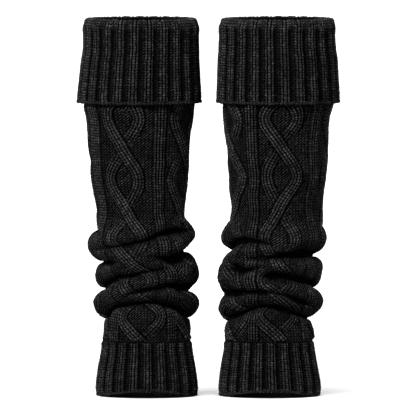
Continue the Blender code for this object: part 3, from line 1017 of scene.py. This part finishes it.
class HemBeads:
    """Geometry Nodes that lay one plump bind-off stitch after another round a hem."""

    BEAD = (("Segments", 8), ("Rings", 6), ("Radius", 0.5))
    BEAD_PAINTED_LIGHT = 0.75  # the beads' painted shade: how far out of the crevices the yarn's finish takes a bead to be
    BEAD_PLACE = 0.0025  # the stitch position whose shade every bead has

    INPUTS = (
        ("Stitches", "NodeSocketInt", 96),
        ("Length", "NodeSocketFloat", 0.0046),
        ("Thickness", "NodeSocketFloat", 0.0036),
        ("Lean", "NodeSocketFloat", 0.45),
        ("Unevenness", "NodeSocketFloat", 0.2),
        ("Seed", "NodeSocketInt", 3),
        ("Yarn", "NodeSocketMaterial", None),
    )

    def __init__(self) -> None:
        """Build the tree."""
        tree = bpy.data.node_groups.new("Hem beads", "GeometryNodeTree")
        self.tree = tree
        socket(tree, "Geometry", "NodeSocketGeometry", "INPUT")
        for name, kind, value in self.INPUTS:
            socket(tree, name, kind, "INPUT", value)
        socket(tree, "Geometry", "NodeSocketGeometry", "OUTPUT")
        nodes, links = tree.nodes, tree.links
        given, out = nodes.new("NodeGroupInput"), nodes.new("NodeGroupOutput")
        hem = nodes.new("GeometryNodeMeshToCurve")
        spaced = nodes.new("GeometryNodeResampleCurve")
        facing = nodes.new("GeometryNodeInputTangent")
        outward = nodes.new("GeometryNodeInputNormal")
        bead = nodes.new("GeometryNodeMeshUVSphere")
        for name, value in self.BEAD:
            bead.inputs[name].default_value = value
        turn = nodes.new("FunctionNodeAlignRotationToVector")
        turn.axis = "X"
        tilt = nodes.new("FunctionNodeRotateRotation")
        tilt.rotation_space = "LOCAL"
        lean = nodes.new("ShaderNodeCombineXYZ")
        as_turn = nodes.new("FunctionNodeEulerToRotation")
        size = nodes.new("ShaderNodeCombineXYZ")
        vary = nodes.new("FunctionNodeRandomValue")
        vary.data_type = "FLOAT"
        low, high = nodes.new("ShaderNodeMath"), nodes.new("ShaderNodeMath")
        low.operation, high.operation = "SUBTRACT", "ADD"
        scaled = nodes.new("ShaderNodeVectorMath")
        scaled.operation = "SCALE"
        laid = nodes.new("GeometryNodeInstanceOnPoints")
        real = nodes.new("GeometryNodeRealizeInstances")
        smooth = nodes.new("GeometryNodeSetShadeSmooth")
        dressed = nodes.new("GeometryNodeSetMaterial")
        low.inputs[0].default_value = high.inputs[0].default_value = 1.0
        for source, target in (
            (given.outputs["Geometry"], hem.inputs["Mesh"]),
            (hem.outputs["Curve"], spaced.inputs["Curve"]),
            (given.outputs["Stitches"], spaced.inputs["Count"]),
            (facing.outputs["Tangent"], turn.inputs["Vector"]),
            (turn.outputs["Rotation"], tilt.inputs["Rotation"]),
            (given.outputs["Lean"], lean.inputs["Y"]),
            (lean.outputs["Vector"], as_turn.inputs["Euler"]),
            (as_turn.outputs["Rotation"], tilt.inputs["Rotate By"]),
            (given.outputs["Length"], size.inputs["X"]),
            (given.outputs["Thickness"], size.inputs["Y"]),
            (given.outputs["Thickness"], size.inputs["Z"]),
            (given.outputs["Unevenness"], low.inputs[1]),
            (given.outputs["Unevenness"], high.inputs[1]),
            (low.outputs["Value"], vary.inputs[2]),
            (high.outputs["Value"], vary.inputs[3]),
            (given.outputs["Seed"], vary.inputs["Seed"]),
            (size.outputs["Vector"], scaled.inputs[0]),
            (vary.outputs[1], scaled.inputs["Scale"]),
            (spaced.outputs["Curve"], laid.inputs["Points"]),
            (bead.outputs["Mesh"], laid.inputs["Instance"]),
            (tilt.outputs["Rotation"], laid.inputs["Rotation"]),
            (scaled.outputs["Vector"], laid.inputs["Scale"]),
            (laid.outputs["Instances"], real.inputs["Geometry"]),
            (real.outputs["Geometry"], smooth.inputs["Geometry"]),
            (smooth.outputs["Geometry"], dressed.inputs["Geometry"]),
            (given.outputs["Yarn"], dressed.inputs["Material"]),
            (dressed.outputs["Geometry"], out.inputs["Geometry"]),
        ):
            links.new(source, target)

    def along(
        self, name: str, ring: np.ndarray, yarn: bpy.types.Material, **sizes: float
    ) -> bpy.types.Object:
        """Lay beads along a ring of points.

        Args:
            name: the piece's name.
            ring: the hem's points, in millimetres.
            yarn: the beads' material.
            **sizes: values for the tree's inputs, by name with _ for a space.

        Returns:
            The beads as one plain mesh.
        """
        count = len(ring)
        line = bpy.data.meshes.new(f"{name}_line")
        line.from_pydata((ring * MM).tolist(), [(i, (i + 1) % count) for i in range(count)], [])
        guide = linked(f"{name}_line", line)
        modifier = guide.modifiers.new("Hem beads", "NODES")
        modifier.node_group = self.tree
        wanted = {key.replace("_", " "): value for key, value in sizes.items()} | {"Yarn": yarn}
        for item in self.tree.interface.items_tree:
            if item.in_out == "INPUT" and item.name in wanted:
                modifier[item.identifier] = wanted[item.name]
        seen = guide.evaluated_get(bpy.context.evaluated_depsgraph_get())
        mesh = bpy.data.meshes.new_from_object(seen)
        mesh.name = name
        guide.modifiers.clear()
        bpy.data.objects.remove(guide)
        bpy.data.meshes.remove(line)
        self._add_places(mesh)
        return linked(name, mesh)

    @staticmethod
    def _add_places(mesh: bpy.types.Mesh) -> None:
        """Give the beads the attributes that the yarn's finish reads."""
        for layer in list(mesh.uv_layers):
            mesh.uv_layers.remove(layer)
        uv = mesh.uv_layers.new(name=PLACES)
        uv.data.foreach_set("uv", [HemBeads.BEAD_PLACE, 0.0] * len(mesh.loops))
        add_values(mesh, "knit", "FACE", np.ones(len(mesh.polygons)))
        # Every bead gets the same painted shade.
        depth = np.full(len(mesh.vertices), HemBeads.BEAD_PAINTED_LIGHT)
        add_values(mesh, "depth", "POINT", depth)


# --------------------------------------------------------------------------- pieces


@dataclass
class LegWarmer:
    """One knitted tube of the pair: cuff, straight body, slouched body and ankle band."""

    side: Side
    chart: CableChart
    first_wale_azimuth: float
    twist: float
    cuff_azimuth: float
    ankle_azimuth: float
    finish: bpy.types.Material
    beads: HemBeads
    seed: int
    straight_rows: int = 46
    slouch_rows: int = 58
    ankle_rows: int = 21
    cuff_rows: int = 30
    form: LegForm = field(init=False)

    SHIFT_ASIDE = 0.05  # how far a stitch strays from its place, in stitches
    SHIFT_ALONG = 0.2  # how far it strays along its wale, in rows
    SHIFT_OUT = 0.18  # how far it strays outwards, in millimetres
    FADED = -1.6  # the height that the pattern fades to at a seam
    HIGH_AND_LOW = (0.6, -3.2)  # heights of the ground at which its painted shade is lightest and darkest, in millimetres
    LOW_GROUND_PAINTED_LIGHT = 0.38  # how light the painted shade leaves the lowest ground
    CAVITY_PAINTED_SHADE = (0.55, 1.4)  # painted shade in the crevices: a stitch's light at its surroundings' height, and the height for 1
    CREASE_PAINTED_SHADE = (0.96, 2.2)  # how much a crease's painted shade darkens the cloth, and how suddenly
    ROLL_PAINTED_LIGHT = 0.3  # how much lighter the pressed rolls are painted
    UNEVEN_LIGHT = 0.25  # how much the light differs from stitch to stitch
    PRESSED = 0.8  # how flat the pattern is pressed on the rolls and in the creases
    PRESSED_OVER = 8  # rows over which that comes and goes
    PRESSED_UNTIL = 94  # the row at which it has gone
    TWIST_LEAD = 6  # rows above the rolls at which the twist starts
    TABLE_STEP = 1.5  # degrees between the columns of the table of heights
    TABLE_HEIGHTS = 900  # heights at which the cloth's length is taken
    TABLE_SHARES = 700  # rows of the table of heights
    BODY_SOFTEN = 4  # how often the stitches' directions are softened on a body
    RIB_SOFTEN = 2  # and on ribs
    GROUND_BLUR = 6  # how often the relief is softened to find the ground
    STRAIGHT_RINGS = 6  # rings of the inner faces
    SLOUCH_RINGS = 18
    ANKLE_RINGS = 5
    CUFF_RINGS = (3, 4, 7)  # inside the opening, over the turned edge, and down the front
    SEAM_RINGS = 7  # coarse rings of the cuff's exposed face, deep inside the opening
    FINE_INSIDE = 1.5  # rows past the turned edge that still have every stitch
    EDGE_PRESSED = (0.45, 0.95)  # the pressed part of the turned edge: its middle and its reach
    EDGE_PAINTED_SHADE = (0.6, 1.2)  # where the painted shade inside the opening starts, and over how many rows
    RIB_FOOT = 1.2  # how far above the hem the ankle's ribs end
    CUFF_RISE = 1.3  # how far above the foot of the ribs the beads lie
    ANKLE_RISE = 0.9

    def __post_init__(self) -> None:
        """Work out this side's large shape."""
        self.form = LegForm(self.side)

    @property
    def name(self) -> str:
        """The side's name, which every piece's name starts with."""
        return self.side.value

    def _grid(self, wales: int, rows: np.ndarray) -> tuple[np.ndarray, np.ndarray]:
        """Stitch positions over a piece, a few steps to each stitch."""
        columns = np.arange(wales * STEPS) / STEPS
        return np.broadcast_arrays(columns[None, :], rows[:, None])

    def _azimuths(self, wale: np.ndarray, row: np.ndarray) -> np.ndarray:
        """Where the body's wales stand, with the slow twist that slouching gives them."""
        start = self.straight_rows - self.TWIST_LEAD
        turn = np.clip((row - start) / self.slouch_rows, 0, 1)
        twist = self.twist * turn * turn * (3 - 2 * turn)
        return self.first_wale_azimuth + wale * 360.0 / BODY_WALES + twist

    def _slouch_heights(self, azimuth: np.ndarray, share: np.ndarray) -> np.ndarray:
        """Heights at shares of the cloth's length down the slouched part, at azimuths."""
        around = np.arange(0, 361, self.TABLE_STEP)
        lowest = ANKLE_SEAM + SEAM_GAP / 2
        heights = np.linspace(SLOUCH_TOP, lowest, self.TABLE_HEIGHTS)
        points = self.form.body_points(around[None, :], heights[:, None])
        steps = np.linalg.norm(np.diff(points, axis=0), axis=-1)
        length = np.concatenate([np.zeros((1, len(around))), np.cumsum(steps, axis=0)])
        length /= length[-1]
        shares = np.linspace(0, 1, self.TABLE_SHARES)
        table = np.stack(
            [np.interp(shares, length[:, c], heights) for c in range(len(around))], axis=1
        )
        column = np.mod(azimuth, 360.0) / self.TABLE_STEP
        line = share * (len(shares) - 1)
        c0 = np.clip(np.floor(column).astype(int), 0, len(around) - 2)
        l0 = np.clip(np.floor(line).astype(int), 0, len(shares) - 2)
        fc, fl = column - c0, line - l0
        top = table[l0, c0] * (1 - fc) + table[l0, c0 + 1] * fc
        foot = table[l0 + 1, c0] * (1 - fc) + table[l0 + 1, c0 + 1] * fc
        return top * (1 - fl) + foot * fl

    def _body_height(self, wale: np.ndarray, row: np.ndarray) -> np.ndarray:
        """Heights of the body's rows, straight part and slouched part."""
        top = CUFF_SEAM - SEAM_GAP
        straight = top + (SLOUCH_TOP - top) * row / self.straight_rows
        share = np.clip((row - self.straight_rows) / self.slouch_rows, 0, 1)
        slouch = self._slouch_heights(self._azimuths(wale, row), share)
        return np.where(row <= self.straight_rows, straight, slouch)

    def _knit(
        self, points: np.ndarray, chart, wale: np.ndarray, row: np.ndarray, wales: int,
        flatness: np.ndarray, shade: np.ndarray, ends: tuple[float, float], seed: int, soften: int,
    ) -> KnitGrid:
        """Raise the stitches on a smooth tube.

        Args:
            points: the smooth outer face, in millimetres.
            chart: the stitch pattern.
            wale: each point's stitch position round the piece.
            row: each point's row.
            wales: stitches round the piece.
            flatness: where the pattern is pressed flat, from 0 to 1.
            shade: how much painted shade a fold puts on the cloth, from 0 to 1.
            ends: rows over which the pattern fades in at the top and out at the foot.
            seed: sets the small differences between stitches.
            soften: how often the directions that the stitches stand in are softened.

        Returns:
            The knitted outer face, with its painted shade as the depth.
        """
        normals = surface_normals(points, soften)
        aside = self.SHIFT_ASIDE * Unevenness(seed + 100).over(wale, row, wales)
        along = self.SHIFT_ALONG * Unevenness(seed + 200).over(wale, row, wales)
        pattern = chart.relief(wale + aside, row + along, flatness)
        uneven = Unevenness(seed).over(wale, row, wales)
        height = pattern.height + self.SHIFT_OUT * uneven
        for fade, away in zip(ends, (row - row.min(), row.max() - row)):
            if fade:
                height = self.FADED + (height - self.FADED) * np.clip(away / fade, 0, 1)
        pattern.height = height
        around = blurred(height, self.GROUND_BLUR)
        high, low = self.HIGH_AND_LOW
        level, rise = self.CAVITY_PAINTED_SHADE
        dark, suddenness = self.CREASE_PAINTED_SHADE
        # Painted shade in the depth: darker in the crevices, on low ground and in creases, lighter
        # on the pressed rolls, uneven at random from stitch to stitch.
        depth = np.clip(level + (height - around) / rise, 0, 1)
        ground = np.clip((around - low) / (high - low), 0, 1)
        depth = depth * (self.LOW_GROUND_PAINTED_LIGHT + (1 - self.LOW_GROUND_PAINTED_LIGHT) * ground)
        depth = depth * (1 - dark * shade**suddenness) * (1 + self.UNEVEN_LIGHT * uneven)
        depth = depth * (1 + self.ROLL_PAINTED_LIGHT * np.clip(flatness, 0, self.PRESSED))
        return KnitGrid(
            outer=points + normals * height[..., None],
            wale=wale, row=row, wales=wales, relief=pattern, depth=depth,
        )

    def _inner(self, points: np.ndarray) -> np.ndarray:
        """An inner face under a smooth outer face."""
        flat = surface_normals(points, 3)
        flat[..., 2] = 0
        return points - unit(flat) * INNER_INSET

    def build_body(self) -> list[bpy.types.Object]:
        """The straight part of the body and the slouched part below it."""
        last = self.straight_rows + self.slouch_rows
        wale, row = self._grid(BODY_WALES, np.arange(last * STEPS + 1) / STEPS)
        azimuth, height = self._azimuths(wale, row), self._body_height(wale, row)
        near = self.form.pulled_in(azimuth, height)[1]
        rolled = np.clip((row - self.straight_rows) / self.PRESSED_OVER, 0, 1)
        rolled = rolled * np.clip((self.PRESSED_UNTIL - row) / self.PRESSED_OVER, 0, 1)
        # near both presses the pattern flat and paints shade into the creases.
        grid = self._knit(
            self.form.body_points(azimuth, height), self.chart, wale, row, BODY_WALES,
            np.clip(self.PRESSED * near + self.PRESSED * rolled, 0, 1), near, (0.0, 1.0),
            self.seed, self.BODY_SOFTEN,
        )
        split = self.straight_rows * STEPS
        pieces = []
        for name, rows, ends, rings in (
            ("cable_body", slice(0, split + 1), (0, self.straight_rows), self.STRAIGHT_RINGS),
            ("slouched_body", slice(split, None), (self.straight_rows, last), self.SLOUCH_RINGS),
        ):
            inner_row = np.linspace(*ends, rings)
            w, r = self._grid(BODY_WALES, inner_row)
            inner = self._inner(
                self.form.body_points(self._azimuths(w, r), self._body_height(w, r))
            )
            pieces.append(grid.piece(f"{self.name}_{name}", inner, inner_row, rows))
        return pieces

    def _hem_height(self, azimuth: np.ndarray) -> np.ndarray:
        """The ankle hem's height, arched up at the front."""
        away = np.clip(np.mod(azimuth + 180, 360) - 180, -HEM_LIFT_HALF_ANGLE, HEM_LIFT_HALF_ANGLE)
        return HEM_LIFT * np.cos(away / HEM_LIFT_HALF_ANGLE * math.pi / 2) ** 2

    def _ankle_points(self, wale: np.ndarray, row: np.ndarray) -> np.ndarray:
        """Points on the ankle band's smooth outer face."""
        azimuth = self.ankle_azimuth + wale * 360.0 / BODY_WALES
        top = ANKLE_SEAM - SEAM_GAP / 2
        foot = self._hem_height(azimuth) + self.RIB_FOOT
        return self.form.body_points(azimuth, top + (foot - top) * row / self.ankle_rows)

    def build_ankle_band(self) -> list[bpy.types.Object]:
        """The ribbed ankle band and the bind-off stitches along its hem."""
        rows = np.arange(self.ankle_rows * STEPS + 1) / STEPS
        wale, row = self._grid(BODY_WALES, rows)
        plain = np.zeros(row.shape)
        points = self._ankle_points(wale, row)
        grid = self._knit(
            points, RibChart(), wale, row, BODY_WALES, plain, plain, (1.0, 0.0),
            self.seed + 2, self.RIB_SOFTEN,
        )
        inner_row = np.linspace(0, self.ankle_rows, self.ANKLE_RINGS)
        inner = self._inner(self._ankle_points(*self._grid(BODY_WALES, inner_row)))
        band = grid.piece(f"{self.name}_ankle_rib", inner, inner_row)
        hem = self._hem_ring(points[-1], grid.outer[-1], self.ANKLE_RISE)
        beads = self.beads.along(
            f"{self.name}_ankle_hem", hem, self.finish, Stitches=BODY_WALES, Seed=self.seed,
        )
        return [band, beads]

    def _hem_ring(self, smooth: np.ndarray, raised: np.ndarray, rise: float) -> np.ndarray:
        """Where a hem's beads lie: near the foot of the ribs, following them part of the way."""
        ring = (smooth + raised) / 2
        ring[:, 2] += rise
        return ring

    def _cuff_points(self, wale: np.ndarray, row: np.ndarray, depth: float) -> np.ndarray:
        """Points of the cuff's folded wall, some way in from its exposed face."""
        azimuth = self.cuff_azimuth + wale * 360.0 / CUFF_WALES
        radius = FOLD - depth
        shoulder = CUFF_TOP - FOLD
        outer_height = shoulder + (CUFF_HEM - shoulder) * np.clip(row / self.cuff_rows, 0, 1)
        turn = np.clip(-row / FOLD_ROWS, 0, 1) * math.pi
        down = np.clip((-row - FOLD_ROWS) * ROW_MM, 0, None)
        height = np.where(row >= 0, outer_height, shoulder)
        points = self.form.cuff_points(
            azimuth, height, FOLD - radius * np.cos(turn), radius * np.sin(turn) - down
        )
        foot = self.form.body_points(azimuth, np.full(azimuth.shape, CUFF_SEAM))
        turned = np.radians(azimuth)
        foot = foot - np.stack([np.sin(turned), -np.cos(turned), 0 * turned], -1) * (
            INNER_INSET - depth
        )
        foot[..., 2] = points[..., 2]
        share = np.clip(down / (shoulder - CUFF_SEAM), 0, 1)[..., None]
        return points * (1 - share) + foot * share

    def build_cuff(self) -> list[bpy.types.Object]:
        """The turned-down ribbed cuff, with the stretch inside the opening, and its hem."""
        seam_row = -(FOLD_ROWS + (CUFF_TOP - FOLD - CUFF_SEAM) / ROW_MM)
        fine_from = -(FOLD_ROWS + self.FINE_INSIDE)
        coarse = np.linspace(seam_row, fine_from, self.SEAM_RINGS, endpoint=False)
        fine = np.arange(int((self.cuff_rows - fine_from) * STEPS) + 1) / STEPS
        wale, row = self._grid(
            CUFF_WALES, np.concatenate([coarse, self.cuff_rows - fine[::-1]])
        )
        points = self._cuff_points(wale, row, 0.0)
        middle, reach = (share * FOLD_ROWS for share in self.EDGE_PRESSED)
        flatness = np.clip(1 - np.abs(row + middle) / reach, 0, 1)
        # Painted shade on the cuff's face past the turned edge, inside the opening.
        dark_from, dark_over = self.EDGE_PAINTED_SHADE
        inside = np.clip((-row - dark_from * FOLD_ROWS) / dark_over, 0, 1)
        grid = self._knit(
            points, RibChart(), wale, row, CUFF_WALES, np.sqrt(flatness), inside, (0.0, 0.0),
            self.seed + 3, self.RIB_SOFTEN,
        )
        in_opening, over_edge, down_front = self.CUFF_RINGS
        inner_row = np.concatenate([
            np.linspace(seam_row, -FOLD_ROWS, in_opening, endpoint=False),
            np.linspace(-FOLD_ROWS, 0, over_edge, endpoint=False),
            np.linspace(0, self.cuff_rows, down_front),
        ])
        inner = self._cuff_points(*self._grid(CUFF_WALES, inner_row), CUFF_INSET)
        cuff = grid.piece(f"{self.name}_ribbed_cuff", inner, inner_row)
        hem = self._hem_ring(points[-1], grid.outer[-1], self.CUFF_RISE)
        beads = self.beads.along(
            f"{self.name}_cuff_hem", hem, self.finish, Stitches=CUFF_WALES, Seed=self.seed + 1,
        )
        return [cuff, beads]

    def build(self) -> None:
        """Build every piece of this leg warmer and tie it to the frame."""
        cuff, cuff_hem = self.build_cuff()
        body, slouch = self.build_body()
        ankle, ankle_hem = self.build_ankle_band()
        jobs = (
            (cuff, "top_cuff", (0.39, 0.18), [cuff_hem]),
            (body, "body", (0.35, 0.14), []),
            (slouch, "body", (0.33, 0.19), []),
            (ankle, "ankle_band", (0.32, 0.06), [ankle_hem]),
        )
        for piece, node, flat, trims in jobs:
            piece.data.materials.append(self.finish)
            for each in (piece, *trims):
                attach(each, "root")
                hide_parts(f"{self.name}_{node}")
                log.info("%s: %d triangles", each.name, len(each.data.polygons))


# --------------------------------------------------------------------------- stage


@dataclass(frozen=True)
class Lamp:
    """One lamp, with its place and size in metres; a sun's size is its angle in degrees."""

    name: str
    kind: str
    place: tuple[float, float, float]
    power: float
    size: float

    def light(self, aim: Vector, lit: bpy.types.Collection) -> None:
        """Set the lamp up.

        Args:
            aim: where it points.
            lit: the only things that it lights.
        """
        data = bpy.data.lights.new(self.name, self.kind)
        data.energy = self.power
        if self.kind == "SUN":
            data.angle = math.radians(self.size)
        else:
            data.size = self.size
        lamp = linked(self.name, data)
        lamp.location = self.place
        lamp.rotation_euler = (aim - lamp.location).to_track_quat("-Z", "Y").to_euler()
        lamp.light_linking.receiver_collection = lit


@dataclass
class Studio:
    """A white floor, soft light from the upper left, and a long lens.

    The floor has lamps of its own, so that it stays white while the yarn stays near black.
    """

    FLOOR_LAMPS = (
        Lamp("sweep", "SUN", (-0.7, -1.2, 1.6), 6.6, 80),
        Lamp("behind", "SUN", (0.9, 1.3, 1.6), 1.1, 60),
    )
    YARN_LAMPS = (
        Lamp("key", "AREA", (-1.5, -2.4, 1.9), 170.0, 0.6),
        Lamp("fill", "AREA", (2.5, -1.3, 1.1), 28.0, 1.4),
        Lamp("back_left", "AREA", (-2.2, 2.0, 1.3), 75.0, 1.4),
        Lamp("back_right", "AREA", (2.4, 1.8, 1.3), 75.0, 1.4),
    )
    FLOOR_SIZE = 260
    WHITE = 0.9
    # Painted shade on the floor inside a tube: darkened up to the first radius in metres, clear
    # from the second.
    TUBE_SHADE = (("From Min", 0.045), ("From Max", 0.057), ("To Min", 0.12), ("To Max", 1.0))

    distance: float = 16.0
    eye_height: float = 1.035
    frame_width: float = 0.4351
    aim: tuple[float, float, float] = (-0.0005, 0.0, 0.1967)
    tubes: tuple = ((-0.0647, 0.0, 0.0), (0.064, 0.0, 0.0))
    room_light: float = 0.2
    floor_bounce: float = 0.2

    def build(self) -> None:
        """Set up the whole stage."""
        floor = self._floor()
        self._room()
        only_floor = bpy.data.collections.new("floor_light")
        only_floor.objects.link(floor)
        not_floor = bpy.data.collections.new("yarn_light")
        not_floor.objects.link(floor)
        not_floor.collection_objects[0].light_linking.link_state = "EXCLUDE"
        for lamps, lit in ((self.FLOOR_LAMPS, only_floor), (self.YARN_LAMPS, not_floor)):
            for lamp in lamps:
                lamp.light(Vector(self.aim), lit)
        self._camera()
        bpy.context.scene.view_settings.view_transform = "Standard"

    def _floor(self) -> bpy.types.Object:
        """A wide, level, white floor that throws little light back up."""
        bpy.ops.mesh.primitive_plane_add(size=self.FLOOR_SIZE)
        floor = bpy.context.object
        floor.name = "studio_floor"
        material = bpy.data.materials.new("studio_white")
        material.use_nodes = True
        nodes, links = material.node_tree.nodes, material.node_tree.links
        shader = nodes["Principled BSDF"]
        shader.inputs["Roughness"].default_value = 0.9
        shader.inputs["Specular IOR Level"].default_value = 0.0
        path = nodes.new("ShaderNodeLightPath")
        tone = nodes.new("ShaderNodeMix")
        tone.data_type = "RGBA"
        tone.inputs["A"].default_value = (self.floor_bounce,) * 3 + (1,)
        tone.inputs["B"].default_value = (self.WHITE,) * 3 + (1,)
        links.new(path.outputs["Is Camera Ray"], tone.inputs["Factor"])
        shaded = tone.outputs["Result"]
        for centre in self.tubes:
            shaded = self._shade_inside(nodes, links, shaded, centre)
        links.new(shaded, shader.inputs["Base Color"])
        floor.data.materials.append(material)
        return floor

    def _shade_inside(self, nodes, links, colour, centre: tuple) -> bpy.types.NodeSocket:
        """Paint shade on the floor inside one tube, where hardly any light comes down.

        Args:
            nodes: the floor material's nodes.
            links: its links.
            colour: the colour so far.
            centre: the middle of the tube's foot, in metres.

        Returns:
            The darkened colour.
        """
        where = nodes.new("ShaderNodeTexCoord").outputs["Object"]
        away = nodes.new("ShaderNodeVectorMath")
        away.operation = "DISTANCE"
        away.inputs[1].default_value = centre
        links.new(where, away.inputs[0])
        open_air = nodes.new("ShaderNodeMapRange")
        open_air.interpolation_type = "SMOOTHSTEP"
        for name, number in self.TUBE_SHADE:
            open_air.inputs[name].default_value = number
        links.new(away.outputs["Value"], open_air.inputs["Value"])
        darker = nodes.new("ShaderNodeVectorMath")
        darker.operation = "SCALE"
        links.new(colour, darker.inputs["Vector"])
        links.new(open_air.outputs["Result"], darker.inputs["Scale"])
        return darker.outputs["Vector"]

    def _room(self) -> None:
        """White surroundings that light the yarn only a little."""
        world = bpy.data.worlds.new("studio")
        world.use_nodes = True
        nodes, links = world.node_tree.nodes, world.node_tree.links
        sky = nodes["Background"]
        sky.inputs["Color"].default_value = (1, 1, 1, 1)
        path = nodes.new("ShaderNodeLightPath")
        strength = nodes.new("ShaderNodeMapRange")
        strength.inputs["To Min"].default_value = self.room_light
        strength.inputs["To Max"].default_value = 1.0
        links.new(path.outputs["Is Camera Ray"], strength.inputs["Value"])
        links.new(strength.outputs["Result"], sky.inputs["Strength"])
        bpy.context.scene.world = world

    def _camera(self) -> None:
        """A long lens a little above the level of the pair."""
        data = bpy.data.cameras.new("camera")
        data.sensor_width = 36.0
        data.lens = data.sensor_width * self.distance / self.frame_width
        data.clip_end = 400.0
        eye = linked("camera", data)
        eye.location = (self.aim[0], -self.distance, self.eye_height)
        aim = Vector(self.aim) - eye.location
        eye.rotation_euler = aim.to_track_quat("-Z", "Y").to_euler()
        bpy.context.scene.camera = eye


def main() -> None:
    """Build the pair, then the stage."""
    logging.basicConfig(level=logging.INFO, format="%(message)s")
    finish = YarnFinish("charcoal_yarn").material()
    beads = HemBeads()
    LegWarmer(
        side=Side.LEFT,
        chart=CableChart(
            cables=((0.0, 0.0), (18.7, 0.0), (42.0, 4.0), (63.5, 8.0)),
            columns=((10.0, 3), (31.0, 3), (52.5, 3), (74.4, 4)),
            crossings=(-3.0, 21.0, 44.0, 67.0, 84.5, 104.0, 124.0),
            stubs=((3.4, 2.5, -0.8, 10.0),),
        ),
        first_wale_azimuth=-19.5,
        twist=12.0,
        cuff_azimuth=5.0,
        ankle_azimuth=-3.0,
        finish=finish,
        beads=beads,
        seed=11,
    ).build()
    LegWarmer(
        side=Side.RIGHT,
        chart=CableChart(
            cables=((0.0, 0.0), (19.3, 0.0), (43.5, 4.0), (67.3, 1.0)),
            columns=((10.2, 3), (31.5, 3), (55.5, 3), (76.0, 3)),
            crossings=(-1.0, 19.4, 42.5, 67.5, 84.0, 102.5, 122.0),
            crossed_back=(2,),
        ),
        first_wale_azimuth=4.3,
        twist=9.0,
        cuff_azimuth=3.0,
        ankle_azimuth=-1.0,
        finish=finish,
        beads=beads,
        seed=41,
    ).build()
    Studio().build()


if __name__ == "__main__":
    main()
